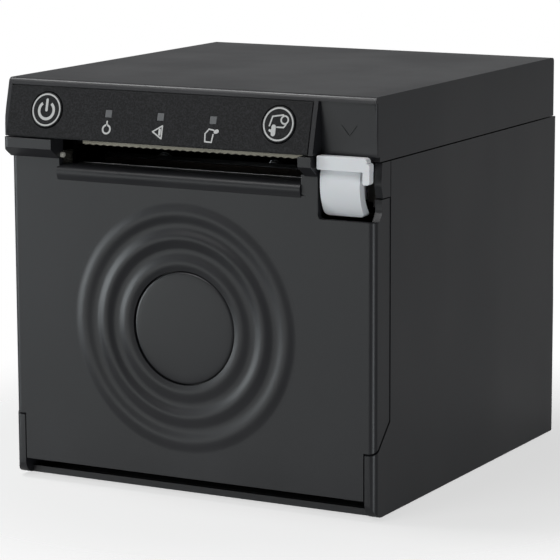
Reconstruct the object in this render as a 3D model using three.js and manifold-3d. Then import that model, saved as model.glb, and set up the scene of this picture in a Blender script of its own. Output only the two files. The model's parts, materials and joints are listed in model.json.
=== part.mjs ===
// A cube-shaped 80 mm receipt printer with a front door that drops forward for the paper roll.
// Millimetres, +Z up, the door faces -Y. Pieces are drawn with the door's face at Y = 0 and the
// feet standing on Z = 0, and the whole group is moved back at the end to centre it.
import * as THREE from "three";
import { mergeVertices } from "three/addons/utils/BufferGeometryUtils.js";
import Module from "manifold-3d";

const wasm = await Module();
wasm.setup();

// ---------- driving dimensions ----------
const WIDTH = 130; // across the side walls
const DEPTH = 138; // door face to the foot of the rear wall
const HEIGHT = 130; // feet to the top of the cover
const SPLIT_Z = 110; // top of the lower housing, where the cover begins
const WALL = 2.4; // moulded wall of the shells
const SEAM = 0.4; // gap between neighbouring shells
const FIT = 0.3; // gap between pieces that touch or are seated
const CORNER_R = 2.2; // upright edges of the shells
const TOP_R = 1.8; // edges round the top of the cover
const REAR_LEAN = 2; // how far the rear wall comes in above its foot
const ARC_STEPS = 5; // facets in a rounded corner
const ROUND = 24; // facets in a full turn

const SKIRT_Z = 1; // lower edge of the housing
const POST_HEIGHT = 20.7; // corner posts beside the foot of the door
const POST_WIDTH = 3.6;
const DOOR_WRAP = 10; // how far the door wraps round onto the sides
const DOOR_FOOT_Z = 6.5; // lower edge of the door
const DOOR_INSET = 0.2; // door skin inside the side faces
const HINGE_Y = 4.5;
const HINGE_Z = 8.5;
const PIN_R = 1.4;

const LIP_PROUD = 4.8; // lip along the top of the door
const BAND_Z = 111.5; // top of the lip, under the front band of the cover
const BAND_PROUD = 4.2; // how far the foot of the leaning band stands forward
const BAND_TOP_Z = 128.4; // where the leaning band meets the top rounding

const SLOT_X0 = -46.6; // paper exit
const SLOT_X1 = 41.2;
const PAPER_WIDTH = 80;
const PAPER_X = (SLOT_X0 + SLOT_X1) / 2; // middle of the paper
const SILL_Z = 99.5; // where the sill under the exit leaves the door's face
const SILL_TOP_Z = 103.2;
const SILL_DEPTH = 5;

const DISC_X = -1.6; // plain round disc on the door
const DISC_Z = 54.5;
const DISC_R = 17.8;
const RIPPLES = [20.5, 28.4, 36.2]; // radii of the ring-shaped ridges round it
const RIPPLE_HEIGHT = 0.7;
const RIPPLE_WIDTH = 7;

const OVERLAY_X0 = -63.4; // control panel
const OVERLAY_X1 = 44.2;
const OVERLAY_THICK = 0.5;
const BUTTON_R = 5.7;
const BUTTON_TRAVEL = 0.6;
const POWER_X = -49.4;
const FEED_X = 33.5;
const WINDOW_X = [-26.6, -7.8, 10.8]; // indicator windows
const WINDOW_SIDE = 2.4;
const RECESS_X0 = 45.9; // the cover steps back over the lever, to the right of here
const RECESS_TOP_Y = 0.8;
const RECESS_FOOT_Y = 1.5;
const RECESS_R = 1;

const LEVER_PIVOT_Y = 26;
const LEVER_PIVOT_Z = 101;
const LEVER_X0 = 46.4; // face of the lever
const LEVER_X1 = 59.8;
const LEVER_BOSS_X = 50; // inner end of the boss on the stud
const LEVER_THICK = 3;
const LEDGE_X0 = 46.5; // finger ledge along the top of the lever
const LEDGE_X1 = 64.2;
const LEDGE_FRONT_Y = -2.6;
const LEDGE_TOP_Z = 112;
const NOTCH_X = 45.5; // corner notch in the door that the lever fills
const NOTCH_Z = 92.2;
const CHEEK_Z = 99.2; // the side strip of the door ends here, under a corner of the case
const STUD_R = 2;

const PLATEN_Y = 16;
const PLATEN_Z = 96.8;
const PLATEN_R = 5.5;
const SHAFT_R = 2.5;
const BUSH_R = 4;
const HEAD_TILT = THREE.MathUtils.degToRad(30); // contact line above the level, behind the platen
const HEAD_GAP = 0.35; // room for the paper
const HEAD_THICK = 3;
const LATCH_Y = 37;
const LATCH_Z = 104.5;
const LATCH_R = 2;
const PLATE_THICK = 1.2; // sheet metal of the mechanism
const PLATE_LEFT_X = PAPER_X - PAPER_WIDTH / 2 - 6.4; // outer face of the left side plate
const PLATE_RIGHT_X = PAPER_X + PAPER_WIDTH / 2 + 6.4;

const GEAR_MODULE = 0.7;
const GEAR_WIDTH = 4.2;
const GEAR_X = PLATE_LEFT_X - 1 - GEAR_WIDTH; // outer face of the gear train
const PLATEN_TEETH = 24;
const IDLER_TEETH = 36;
const PINION_TEETH = 12;
const IDLER_RISE = THREE.MathUtils.degToRad(10); // idler seen from the platen
const MOTOR_RISE = THREE.MathUtils.degToRad(25); // motor seen from the idler
const MOTOR_R = 11;
const MOTOR_LENGTH = 19;

const BLADE_THICK = 0.8;
const BLADE_Y = 9.2; // front face of the moving blade
const BLADE_EDGE_Z = 109.2;
const BLADE_TOP_Z = 119.5;
const BLADE_TRAVEL = 5.6;
const TEAR_Z = 109.6; // points of the tear bar
const CUTTER_Y = 16.6; // cutter motor's shaft
const CUTTER_Z = 114;
const RACK_X = PAPER_X + 26.5; // middle of the rack on the blade

const ROLL_R = 41.5; // the largest paper roll
const ROLL_Y = 57;
const TRAY_GAP = 1; // room round the roll
const TRAY_WALL = 1.5;
const TRAY_Z = 4.6; // underside of the tray
const MAIN_BOARD_Y = 104;
const PORT_BOARD_Y = 112;
const BOARD_THICK = 1.6;
const PORT_PANEL_Y = 130.5;
const PORT_PANEL_THICK = 1.5;
const PORT_Z = 27;
const FOOT_R = 5.5;

// ---------- worked out from them ----------
const SIDE_X = WIDTH / 2;
const REAR_TOP_Y = DEPTH - REAR_LEAN;
const BAND_TILT = Math.atan2(BAND_PROUD, BAND_TOP_Z - BAND_Z - SEAM);
const BAND_LENGTH = Math.hypot(BAND_PROUD, BAND_TOP_Z - BAND_Z - SEAM);
const BUTTON_UP = BAND_LENGTH / 2 + 0.4; // height of the buttons along the band
const TRAY_R = ROLL_R + TRAY_GAP;
const ROLL_Z = TRAY_Z + TRAY_WALL + TRAY_R;
const pitchRadius = (teeth) => (teeth * GEAR_MODULE) / 2;
const IDLER_Y = PLATEN_Y + (pitchRadius(PLATEN_TEETH) + pitchRadius(IDLER_TEETH)) * Math.cos(IDLER_RISE);
const IDLER_Z = PLATEN_Z + (pitchRadius(PLATEN_TEETH) + pitchRadius(IDLER_TEETH)) * Math.sin(IDLER_RISE);
const MOTOR_Y = IDLER_Y + (pitchRadius(IDLER_TEETH) + pitchRadius(PINION_TEETH)) * Math.cos(MOTOR_RISE);
const MOTOR_Z = IDLER_Z + (pitchRadius(IDLER_TEETH) + pitchRadius(PINION_TEETH)) * Math.sin(MOTOR_RISE);
const FIXED_BLADE_Y = BLADE_Y - FIT - BLADE_THICK;
const BLADE_X0 = PAPER_X - PAPER_WIDTH / 2 - 2;
const BLADE_X1 = PAPER_X + PAPER_WIDTH / 2 + 2;

// ---------- shape helpers ----------
const AXIS_X = new THREE.Vector3(1, 0, 0);
const AXIS_Y = new THREE.Vector3(0, 1, 0);
const AXIS_Z = new THREE.Vector3(0, 0, 1);
const BACK_TO_FRONT = new THREE.Vector3(0, -1, 0);

function toSolid(geometry) {
  const bare = new THREE.BufferGeometry();
  bare.setAttribute("position", geometry.getAttribute("position"));
  bare.setIndex(geometry.getIndex());
  const merged = mergeVertices(bare, 1e-4);
  const corners = merged.getIndex().array;
  const kept = [];
  for (let i = 0; i < corners.length; i += 3) {
    const [a, b, c] = [corners[i], corners[i + 1], corners[i + 2]];
    if (a !== b && b !== c && c !== a) kept.push(a, b, c);
  }
  const vertProperties = merged.getAttribute("position").array;
  return new wasm.Manifold(new wasm.Mesh({ numProp: 3, vertProperties, triVerts: new Uint32Array(kept) }));
}

function toGeometry(solid) {
  const mesh = solid.getMesh();
  const geometry = new THREE.BufferGeometry();
  geometry.setAttribute("position", new THREE.BufferAttribute(new Float32Array(mesh.vertProperties), 3));
  geometry.setIndex(new THREE.BufferAttribute(new Uint32Array(mesh.triVerts), 1));
  return geometry;
}

const join = (first, ...rest) =>
  toGeometry(rest.reduce((sum, piece) => sum.add(toSolid(piece)), toSolid(first)));
const cut = (first, ...tools) =>
  toGeometry(tools.reduce((left, tool) => left.subtract(toSolid(tool)), toSolid(first)));
const common = (first, second) => toGeometry(toSolid(first).intersect(toSolid(second)));

// Turns corners [u, v, radius] into points, with each rounded corner as a short arc.
function filleted(corners, steps = ARC_STEPS) {
  const points = [];
  corners.forEach(([u, v, radius = 0], i) => {
    const here = new THREE.Vector2(u, v);
    if (radius === 0) {
      points.push(here);
      return;
    }
    const before = new THREE.Vector2(...corners.at(i - 1)).sub(here).normalize();
    const after = new THREE.Vector2(...corners[(i + 1) % corners.length]).sub(here).normalize();
    const half = Math.acos(before.dot(after)) / 2;
    const centre = before.clone().add(after).normalize().multiplyScalar(radius / Math.sin(half)).add(here);
    const reach = radius / Math.tan(half);
    const from = before.clone().multiplyScalar(reach).add(here).sub(centre).angle();
    const to = after.clone().multiplyScalar(reach).add(here).sub(centre).angle();
    const sweep = THREE.MathUtils.euclideanModulo(to - from + Math.PI, 2 * Math.PI) - Math.PI;
    for (let k = 0; k <= steps; k++) {
      const angle = from + (sweep * k) / steps;
      const across = centre.x + radius * Math.cos(angle);
      points.push(new THREE.Vector2(across, centre.y + radius * Math.sin(angle)));
    }
  });
  return points;
}

function prism(corners, depth, steps) {
  const shape = new THREE.Shape(filleted(corners, steps));
  return new THREE.ExtrudeGeometry(shape, { depth, bevelEnabled: false });
}

// Outlines of (Y, Z), (X, Z) and (X, Y) corners, drawn out along the third axis.
function prismX(corners, x0, x1, steps) {
  const turn = new THREE.Matrix4().makeBasis(AXIS_Y, AXIS_Z, AXIS_X);
  return prism(corners, x1 - x0, steps).applyMatrix4(turn).translate(x0, 0, 0);
}

function prismY(corners, y0, y1, steps) {
  const turn = new THREE.Matrix4().makeBasis(AXIS_X, AXIS_Z, BACK_TO_FRONT);
  return prism(corners, y1 - y0, steps).applyMatrix4(turn).translate(0, y1, 0);
}

function prismZ(corners, z0, z1, steps) {
  return prism(corners, z1 - z0, steps).translate(0, 0, z0);
}

function box(x0, x1, y0, y1, z0, z1) {
  const block = new THREE.BoxGeometry(x1 - x0, y1 - y0, z1 - z0);
  return block.translate((x0 + x1) / 2, (y0 + y1) / 2, (z0 + z1) / 2);
}

function rodX(x0, x1, y, z, radius, facets = ROUND) {
  const rod = new THREE.CylinderGeometry(radius, radius, x1 - x0, facets);
  return rod.rotateZ(Math.PI / 2).translate((x0 + x1) / 2, y, z);
}

function rodY(x, y0, y1, z, radius, facets = ROUND) {
  return new THREE.CylinderGeometry(radius, radius, y1 - y0, facets).translate(x, (y0 + y1) / 2, z);
}

function rodZ(x, y, z0, z1, radius, facets = ROUND) {
  const rod = new THREE.CylinderGeometry(radius, radius, z1 - z0, facets);
  return rod.rotateX(Math.PI / 2).translate(x, y, (z0 + z1) / 2);
}

// A rectangle of corners between two points, all four rounded.
const rectangle = (u0, u1, v0, v1, r = 0) => [
  [u0, v0, r],
  [u1, v0, r],
  [u1, v1, r],
  [u0, v1, r],
];

// Pieces of the control panel are drawn flat, Y into the printer and Z up, then leant with the band.
const onBand = (geometry) => geometry.rotateX(-BAND_TILT).translate(0, -BAND_PROUD, BAND_Z + SEAM);

// Pieces of the print head are drawn with Y away from the platen and Z up along the head.
function onHead(geometry) {
  const reach = PLATEN_R + HEAD_GAP;
  const y = PLATEN_Y + reach * Math.cos(HEAD_TILT);
  const z = PLATEN_Z + reach * Math.sin(HEAD_TILT);
  return geometry.rotateX(HEAD_TILT).translate(0, y, z);
}

// ---------- gears, springs, screws ----------
const TOOTH_TIP = 0.8; // tooth height above the pitch line, in modules
const TOOTH_ROOT = 1.1;
const TIP_SHARE = 0.1; // half width at the tip, as a share of the pitch
const ROOT_SHARE = 0.32;

function gearCorners(teeth, y, z, phase) {
  const pitch = (2 * Math.PI) / teeth;
  const root = pitchRadius(teeth) - TOOTH_ROOT * GEAR_MODULE;
  const tip = pitchRadius(teeth) + TOOTH_TIP * GEAR_MODULE;
  const corners = [];
  for (let i = 0; i < teeth; i++) {
    const flanks = [[root, -ROOT_SHARE], [tip, -TIP_SHARE], [tip, TIP_SHARE], [root, ROOT_SHARE]];
    for (const [radius, share] of flanks) {
      const angle = phase + (i + share) * pitch;
      corners.push([y + radius * Math.cos(angle), z + radius * Math.sin(angle)]);
    }
  }
  return corners;
}

function gearX(teeth, x0, y, z, phase, bore) {
  const wheel = prismX(gearCorners(teeth, y, z, phase), x0, x0 + GEAR_WIDTH);
  return cut(wheel, rodX(x0 - 1, x0 + GEAR_WIDTH + 1, y, z, bore));
}

// Phase that puts gear B's gap where gear A's tooth meets the line of centres, A to B.
const meshedPhase = (phaseA, teethA, direction, teethB) =>
  direction + Math.PI + Math.PI / teethB - ((phaseA - direction) * teethA) / teethB;

class Helix extends THREE.Curve {
  constructor(radius, length, turns) {
    super();
    Object.assign(this, { radius, length, turns });
  }

  getPoint(t, target = new THREE.Vector3()) {
    const angle = 2 * Math.PI * this.turns * t;
    return target.set(this.length * t, this.radius * Math.cos(angle), this.radius * Math.sin(angle));
  }
}

// A coil spring that starts at the origin and runs along +X.
function coil(radius, length, turns, wire) {
  const section = [];
  for (let k = 0; k < 6; k++) {
    section.push(new THREE.Vector2(wire * Math.cos((k * Math.PI) / 3), wire * Math.sin((k * Math.PI) / 3)));
  }
  const extrudePath = new Helix(radius, length, turns);
  return new THREE.ExtrudeGeometry(new THREE.Shape(section), { steps: turns * 14, extrudePath });
}

// A cross-head screw that points along -Y, with its head's seat on Y = 0.
function screw(shankR, shankLength, headR, headHeight) {
  const whole = join(
    rodY(0, -shankLength, 0.1, 0, shankR, 12),
    rodY(0, 0, headHeight, 0, headR, 16),
  );
  const slot = headR * 0.6;
  return cut(
    whole,
    box(-slot, slot, headHeight * 0.4, headHeight + 1, -0.35, 0.35),
    box(-0.35, 0.35, headHeight * 0.4, headHeight + 1, -slot, slot),
  );
}

// ---------- materials ----------
function finish(color, roughness, metalness) {
  return new THREE.MeshStandardMaterial({ color, roughness, metalness });
}
const CASE = [0x26272a, 0.42, 0];
const MEMBRANE = [0x17181a, 0.6, 0];
const LEVER_WHITE = [0xd9dde0, 0.45, 0];
const LENS = [0xc9cdd2, 0.25, 0];
const DARK_PLASTIC = [0x1a1b1d, 0.55, 0];
const ZINC = [0xa9a89f, 0.38, 1];
const STEEL = [0xb4b6b8, 0.25, 1];
const SPRING = [0x8d9093, 0.3, 1];
const ALUMINIUM = [0xb9bcc0, 0.4, 1];
const RUBBER = [0x1d1d1e, 0.9, 0];
const GEAR = [0xe2dfd2, 0.5, 0];
const BOARD = [0x14522f, 0.5, 0];
const CERAMIC = [0xe9e6df, 0.35, 0];
const RIBBON = [0xdedfe2, 0.5, 0];

const printer = new THREE.Group();

function add(name, geometry, [color, roughness, metalness]) {
  const mesh = new THREE.Mesh(geometry, finish(color, roughness, metalness));
  mesh.name = name;
  printer.add(mesh);
}

// ---------- lower housing ----------
const BOSS_X = SIDE_X - WALL - 5.6;
const BOSS_Y = [20, 120];
const BOSS_R = 4;
const FLANGE_Z = SKIRT_Z + 2.6; // underside of the ledge that the bottom cover screws to
const FLANGE_THICK = 2;
const SCREW_R = 1.4;
const SCREW_HOLE_R = 1.75;
const WINDOW_X1 = 50; // half width of the opening round the sockets
const WINDOW_Z0 = 10;
const WINDOW_Z1 = 44;
const PANEL_SCREW_X = 46.5;
const COVER_SCREW_X = 50;
const COVER_SCREW_Z = SPLIT_Z - 6;
const LEDGE_Y = [50, 62];
const LEDGE_Z = 86.4;

function housingOutside() {
  const side = [
    [0, SKIRT_Z, 4.5],
    [0, POST_HEIGHT],
    [2.5, POST_HEIGHT + 1.2],
    [DOOR_WRAP + SEAM, POST_HEIGHT + DOOR_WRAP + SEAM - 1.3],
    [DOOR_WRAP + SEAM, SPLIT_Z],
    [REAR_TOP_Y, SPLIT_Z],
    [REAR_TOP_Y, SPLIT_Z - 50],
    [DEPTH, SKIRT_Z + 4],
    [DEPTH, SKIRT_Z, 2.5],
  ];
  const plan = rectangle(-SIDE_X, SIDE_X, 0, DEPTH, CORNER_R);
  return common(prismX(side, -SIDE_X, SIDE_X), prismZ(plan, 0, SPLIT_Z + 1));
}

// The corner of the case behind the lever, which stays put when the door swings away.
function leverCheek() {
  const outline = [
    [DOOR_WRAP + SEAM + 0.1, CHEEK_Z],
    [5, CHEEK_Z],
    [3.8, CHEEK_Z + 4, 4],
    [4.4, SPLIT_Z],
    [DOOR_WRAP + SEAM + 0.1, SPLIT_Z],
  ];
  return prismX(outline, SIDE_X - WALL, SIDE_X);
}

function housingBosses() {
  const inner = SIDE_X - WALL + 0.1;
  const pieces = [];
  for (const side of [-1, 1]) {
    const x = side * BOSS_X;
    for (const y of BOSS_Y) {
      pieces.push(rodZ(x, y, FLANGE_Z, 14, BOSS_R));
    }
    const across = (u0, u1) => (side > 0 ? [u0, u1] : [-u1, -u0]);
    const ledge = side > 0 ? across(PLATE_RIGHT_X + 1, inner) : [-inner, PLATE_LEFT_X - 1.6];
    pieces.push(box(...ledge, ...LEDGE_Y, LEDGE_Z - 8, LEDGE_Z));
    pieces.push(box(...across(56, inner), MAIN_BOARD_Y + BOARD_THICK + FIT, MAIN_BOARD_Y + 4, 5, 88));
    pieces.push(box(...across(53, inner), PORT_BOARD_Y + BOARD_THICK + FIT, PORT_BOARD_Y + 4, 5, 46));
    pieces.push(box(...across(PANEL_SCREW_X - 4, inner), PORT_PANEL_Y - 6, PORT_PANEL_Y - FIT, 22, 32));
  }
  return pieces;
}

function baseHousing() {
  const innerX = SIDE_X - WALL;
  const postX = SIDE_X - POST_WIDTH;
  const rearInner = REAR_TOP_Y - WALL;
  const shell = cut(
    housingOutside(),
    box(-innerX, innerX, DOOR_WRAP + SEAM, rearInner, FLANGE_Z + FLANGE_THICK, HEIGHT),
    box(-postX, postX, -1, 12, SKIRT_Z + 2.2, SPLIT_Z),
    box(-postX, postX, -1, 4, 0, SPLIT_Z),
    box(-innerX, innerX, 12, rearInner + 0.9, 0, FLANGE_Z),
    box(-postX, postX, 6.5, 12.1, 0, FLANGE_Z),
    box(-52, 52, 14, 124, 0, 20),
    box(-WINDOW_X1, WINDOW_X1, rearInner - 1, DEPTH + 1, WINDOW_Z0, WINDOW_Z1),
  );
  const holes = [];
  for (const side of [-1, 1]) {
    for (const y of BOSS_Y) {
      holes.push(rodZ(side * BOSS_X, y, 0, 12.5, SCREW_HOLE_R, 12));
    }
    const pinEnd = SIDE_X - 0.7;
    const pinX = side > 0 ? [postX - 1, pinEnd] : [-pinEnd, 1 - postX];
    holes.push(rodX(...pinX, HINGE_Y, HINGE_Z, PIN_R + 0.25));
    holes.push(rodY(side * PANEL_SCREW_X, PORT_PANEL_Y - 7, PORT_PANEL_Y, PORT_Z, SCREW_HOLE_R, 12));
    holes.push(rodY(side * COVER_SCREW_X, rearInner - 1, DEPTH, COVER_SCREW_Z, SCREW_HOLE_R, 12));
  }
  return cut(join(shell, leverCheek(), ...housingBosses()), ...holes);
}

const FOOT_X = SIDE_X - 21;
const FOOT_ROWS = [16, DEPTH - 18];
const POST_CLEAR_X = SIDE_X - POST_WIDTH - SEAM; // inner edge of the corner posts, with a gap

function bottomCover() {
  const edge = SIDE_X - WALL - SEAM;
  const plate = box(-edge, edge, 12.4, REAR_TOP_Y - WALL, SKIRT_Z, SKIRT_Z + 2);
  const tongue = box(-POST_CLEAR_X, POST_CLEAR_X, 6.9, 12.5, SKIRT_Z, SKIRT_Z + 2);
  const cradle = [-30, 20].map((x) =>
    box(x - 3, x + 3, ROLL_Y - 12, ROLL_Y + 12, SKIRT_Z + 1.9, TRAY_Z - FIT));
  const pockets = [];
  for (const side of [-1, 1]) {
    for (const y of BOSS_Y) {
      pockets.push(rodZ(side * BOSS_X, y, 0, 8, SCREW_HOLE_R, 12));
      pockets.push(rodZ(side * BOSS_X, y, 0, SKIRT_Z + 1.2, 3.3, 16));
    }
    for (const y of FOOT_ROWS) {
      pockets.push(rodZ(side * FOOT_X, y, 0, SKIRT_Z + 1, FOOT_R + FIT));
    }
  }
  return cut(join(plate, tongue, ...cradle), ...pockets);
}

function buildHousing() {
  add("base_housing", baseHousing(), CASE);
  add("bottom_cover", bottomCover(), DARK_PLASTIC);
  for (const [side, hand] of [[-1, "left"], [1, "right"]]) {
    BOSS_Y.forEach((y, row) => {
      const where = (row === 0 ? "front_" : "rear_") + hand;
      const turned = screw(SCREW_R, 8, 2.8, 1).rotateX(-Math.PI / 2);
      add("bottom_screw_" + where, turned.translate(side * BOSS_X, y, SKIRT_Z + 1.2 - FIT), STEEL);
    });
    FOOT_ROWS.forEach((y, row) => {
      const where = (row === 0 ? "front_" : "rear_") + hand;
      add("foot_" + where, rodZ(side * FOOT_X, y, 0, SKIRT_Z + 1 - FIT, FOOT_R), RUBBER);
    });
    const rear = screw(SCREW_R, 6, 2.8, 1.3);
    add("cover_screw_" + hand, rear.translate(side * COVER_SCREW_X, REAR_TOP_Y + FIT, COVER_SCREW_Z), STEEL);
  }
}

// ---------- top cover ----------
function coverBody() {
  const side = [
    [-BAND_PROUD, BAND_Z + SEAM],
    [0, BAND_TOP_Z, 1],
    [0.4, HEIGHT, TOP_R * 0.8],
    [REAR_TOP_Y - 1.5, HEIGHT, TOP_R],
    [REAR_TOP_Y, SPLIT_Z + SEAM],
    [WALL + 0.5, SPLIT_Z + SEAM],
    [WALL + 0.5, BAND_Z + SEAM],
  ];
  const plan = rectangle(-SIDE_X, SIDE_X, -BAND_PROUD, REAR_TOP_Y, CORNER_R);
  return common(prismX(side, -SIDE_X, SIDE_X), prismZ(plan, SPLIT_Z, HEIGHT + 1));
}

function coverHollow(x0, x1, frontY, lean) {
  const roof = HEIGHT - WALL;
  const rear = REAR_TOP_Y - WALL;
  return prismX(
    [
      [frontY, SPLIT_Z - 1],
      [frontY + lean, roof],
      [rear - 1.5, roof],
      [rear, SPLIT_Z - 1],
    ],
    x0,
    x1,
  );
}

// What the cover loses over the lever, down to a face that stands almost upright.
function coverStep() {
  const face = prismX(
    [
      [-BAND_PROUD - 1, SPLIT_Z],
      [RECESS_FOOT_Y, SPLIT_Z],
      [RECESS_TOP_Y, BAND_TOP_Z - 0.3],
      [-BAND_PROUD - 1, BAND_TOP_Z - 0.3],
    ],
    RECESS_X0,
    SIDE_X + 1,
  );
  const kept = prismZ(rectangle(0, SIDE_X, RECESS_TOP_Y, 40, RECESS_R), SPLIT_Z, BAND_TOP_Z - 0.3);
  const front = box(RECESS_X0, SIDE_X + 1, -BAND_PROUD - 1, 8, SPLIT_Z, BAND_TOP_Z - 0.3);
  return [face, cut(front, kept)];
}

// A tab inside the rear wall, with the hole of a cover screw.
function coverTab(side) {
  const x = side * COVER_SCREW_X;
  const y = REAR_TOP_Y - WALL - FIT;
  const tab = join(
    box(x - 5, x + 5, y - 4, y, SPLIT_Z - 11, SPLIT_Z + 3),
    box(x - 5, x + 5, y - 4, y + 1.5, SPLIT_Z + SEAM, SPLIT_Z + 3),
  );
  return cut(tab, rodY(x, y - 6, y + 3, COVER_SCREW_Z, SCREW_HOLE_R, 12));
}

function topCover() {
  const innerX = SIDE_X - WALL;
  const bayX = RECESS_X0 - WALL;
  const frontY = -BAND_PROUD + WALL / Math.cos(BAND_TILT) - 0.7;
  const lean = Math.tan(BAND_TILT) * (HEIGHT - WALL - SPLIT_Z + 1);
  const shell = cut(
    coverBody(),
    coverHollow(-innerX, bayX, frontY, lean),
    coverHollow(bayX - 0.1, innerX, RECESS_FOOT_Y + WALL, 0),
    ...coverStep(),
  );
  const pocketEnds = [OVERLAY_X0 - 0.2, OVERLAY_X1 + 0.2];
  const pocket = box(...pocketEnds, -1, OVERLAY_THICK + 0.1, -0.1, BAND_LENGTH - 0.4);
  const windows = WINDOW_X.map((x) => {
    const half = WINDOW_SIDE / 2 + 0.15;
    return box(x - half, x + half, -1, WALL + 2, BUTTON_UP - half, BUTTON_UP + half);
  });
  const keys = [POWER_X, FEED_X].map((x) => rodY(x, -1, WALL + 2, BUTTON_UP, BUTTON_R + 0.3));
  const openings = [pocket, ...windows, ...keys].map(onBand);
  return cut(join(shell, coverTab(-1), coverTab(1)), ...openings);
}

function panelOverlay() {
  const sheet = box(OVERLAY_X0, OVERLAY_X1, -0.2, OVERLAY_THICK - 0.2, 0.3, BAND_LENGTH - 0.8);
  const windows = WINDOW_X.map((x) => {
    const half = WINDOW_SIDE / 2 + 0.1;
    return box(x - half, x + half, -1, 2, BUTTON_UP - half, BUTTON_UP + half);
  });
  const keys = [POWER_X, FEED_X].map((x) => rodY(x, -1, 2, BUTTON_UP, BUTTON_R + 0.25));
  return onBand(cut(sheet, ...windows, ...keys));
}

const KEY_FLANGE_Y = WALL + 0.35;
const SWITCH_Y = KEY_FLANGE_Y + 0.6 + BUTTON_TRAVEL + 0.25;
const PANEL_BOARD_Y = SWITCH_Y + 1.6;

// The board behind the panel, with a press switch under each button.
function controlBoard() {
  const board = box(POWER_X - 8, FEED_X + 8, PANEL_BOARD_Y, PANEL_BOARD_Y + 1.2, 3, 12.6);
  const switches = [POWER_X, FEED_X].flatMap((x) => [
    box(x - 3, x + 3, SWITCH_Y + 0.5, PANEL_BOARD_Y + 0.1, BUTTON_UP - 3, BUTTON_UP + 3),
    rodY(x, SWITCH_Y, SWITCH_Y + 0.6, BUTTON_UP, 1.6, 12),
  ]);
  return join(board, ...switches);
}

function buildCover() {
  add("top_cover", topCover(), CASE);
  add("panel_overlay", panelOverlay(), MEMBRANE);
  for (const [name, x] of [["power", POWER_X], ["feed", FEED_X]]) {
    const key = join(
      rodY(x, -0.45, KEY_FLANGE_Y + 0.1, BUTTON_UP, BUTTON_R),
      rodY(x, KEY_FLANGE_Y, KEY_FLANGE_Y + 0.6, BUTTON_UP, BUTTON_R + 1.1),
    );
    add(name + "_button", onBand(key), MEMBRANE);
  }
  const half = WINDOW_SIDE / 2;
  const pipes = WINDOW_X.map((x) =>
    box(x - half, x + half, -0.25, PANEL_BOARD_Y - FIT, BUTTON_UP - half, BUTTON_UP + half));
  const bridgeY = WALL + 0.4;
  const bridge = box(WINDOW_X[0], WINDOW_X[2], bridgeY, bridgeY + 1.2, BUTTON_UP - half, BUTTON_UP + half);
  add("light_guide", onBand(join(bridge, ...pipes)), LENS);
  add("control_board", onBand(controlBoard()), BOARD);
}

// ---------- front door ----------
function doorSkin() {
  const edge = SIDE_X - DOOR_INSET;
  const side = [
    [0, POST_HEIGHT + 0.7],
    [2.5, POST_HEIGHT + 1.9],
    [DOOR_WRAP, POST_HEIGHT + DOOR_WRAP - 0.6],
    [DOOR_WRAP, SPLIT_Z],
    [0, SPLIT_Z],
  ];
  const plan = rectangle(-edge, edge, 0, 40, CORNER_R);
  const wrap = common(prismX(side, -edge, edge), prismZ(plan, 0, HEIGHT));
  const inner = edge - WALL;
  const foot = box(-POST_CLEAR_X, POST_CLEAR_X, 0, WALL, DOOR_FOOT_Z, POST_HEIGHT + 4);
  return join(cut(wrap, box(-inner, inner, WALL, DOOR_WRAP + 1, 0, HEIGHT)), foot);
}

function doorLip() {
  const edge = SIDE_X - DOOR_INSET;
  const side = [
    [0.1, SILL_Z + 5.5],
    [-LIP_PROUD, 108.2, 1],
    [-LIP_PROUD, BAND_Z, 0.4],
    [WALL, BAND_Z],
    [WALL, SILL_Z + 5.5],
  ];
  const plan = rectangle(-edge, edge, -LIP_PROUD, 20, CORNER_R);
  return common(prismX(side, -edge, NOTCH_X), prismZ(plan, 90, HEIGHT));
}

// Ridges with smooth flanks, as one turned sheet that sinks into the door's skin.
function doorRipples() {
  const profile = [];
  for (const radius of RIPPLES) {
    for (const share of [-0.5, -0.3, -0.12, 0.12, 0.3]) {
      const height = RIPPLE_HEIGHT * Math.cos(Math.PI * share) ** 2;
      profile.push(new THREE.Vector2(radius + share * RIPPLE_WIDTH, height));
    }
  }
  const outer = RIPPLES.at(-1) + RIPPLE_WIDTH / 2;
  const inner = RIPPLES[0] - RIPPLE_WIDTH / 2 + 1.4;
  profile[0].x = inner;
  profile.push(new THREE.Vector2(outer, 0));
  profile.push(new THREE.Vector2(outer, -0.5));
  profile.push(new THREE.Vector2(inner, -0.5));
  profile.push(profile[0].clone());
  const rings = new THREE.LatheGeometry(profile.reverse(), 40);
  return rings.rotateX(Math.PI).translate(DISC_X, 0, DISC_Z);
}

function slotCut() {
  return box(SLOT_X0, SLOT_X1, -LIP_PROUD - 1, WALL + 1, SILL_Z, BAND_Z + 1);
}

function doorSill() {
  const outline = [
    [0.2, SILL_Z - 4],
    [0.2, SILL_Z + 0.6, 0.4],
    [0.9, SILL_TOP_Z, 2.2],
    [SILL_DEPTH, SILL_TOP_Z],
    [SILL_DEPTH, SILL_TOP_Z - 1.6],
    [WALL, SILL_Z - 4],
  ];
  return prismX(outline, SLOT_X0 - 0.1, SLOT_X1 + 0.1);
}

function leverNotch() {
  const outline = [
    [-LIP_PROUD - 1, NOTCH_Z],
    [3, NOTCH_Z],
    [5, NOTCH_Z + 3, 2],
    [3.8, NOTCH_Z + 10, 4],
    [4.6, HEIGHT],
    [-LIP_PROUD - 1, HEIGHT],
  ];
  return prismX(outline, NOTCH_X, SIDE_X + 1);
}

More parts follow.
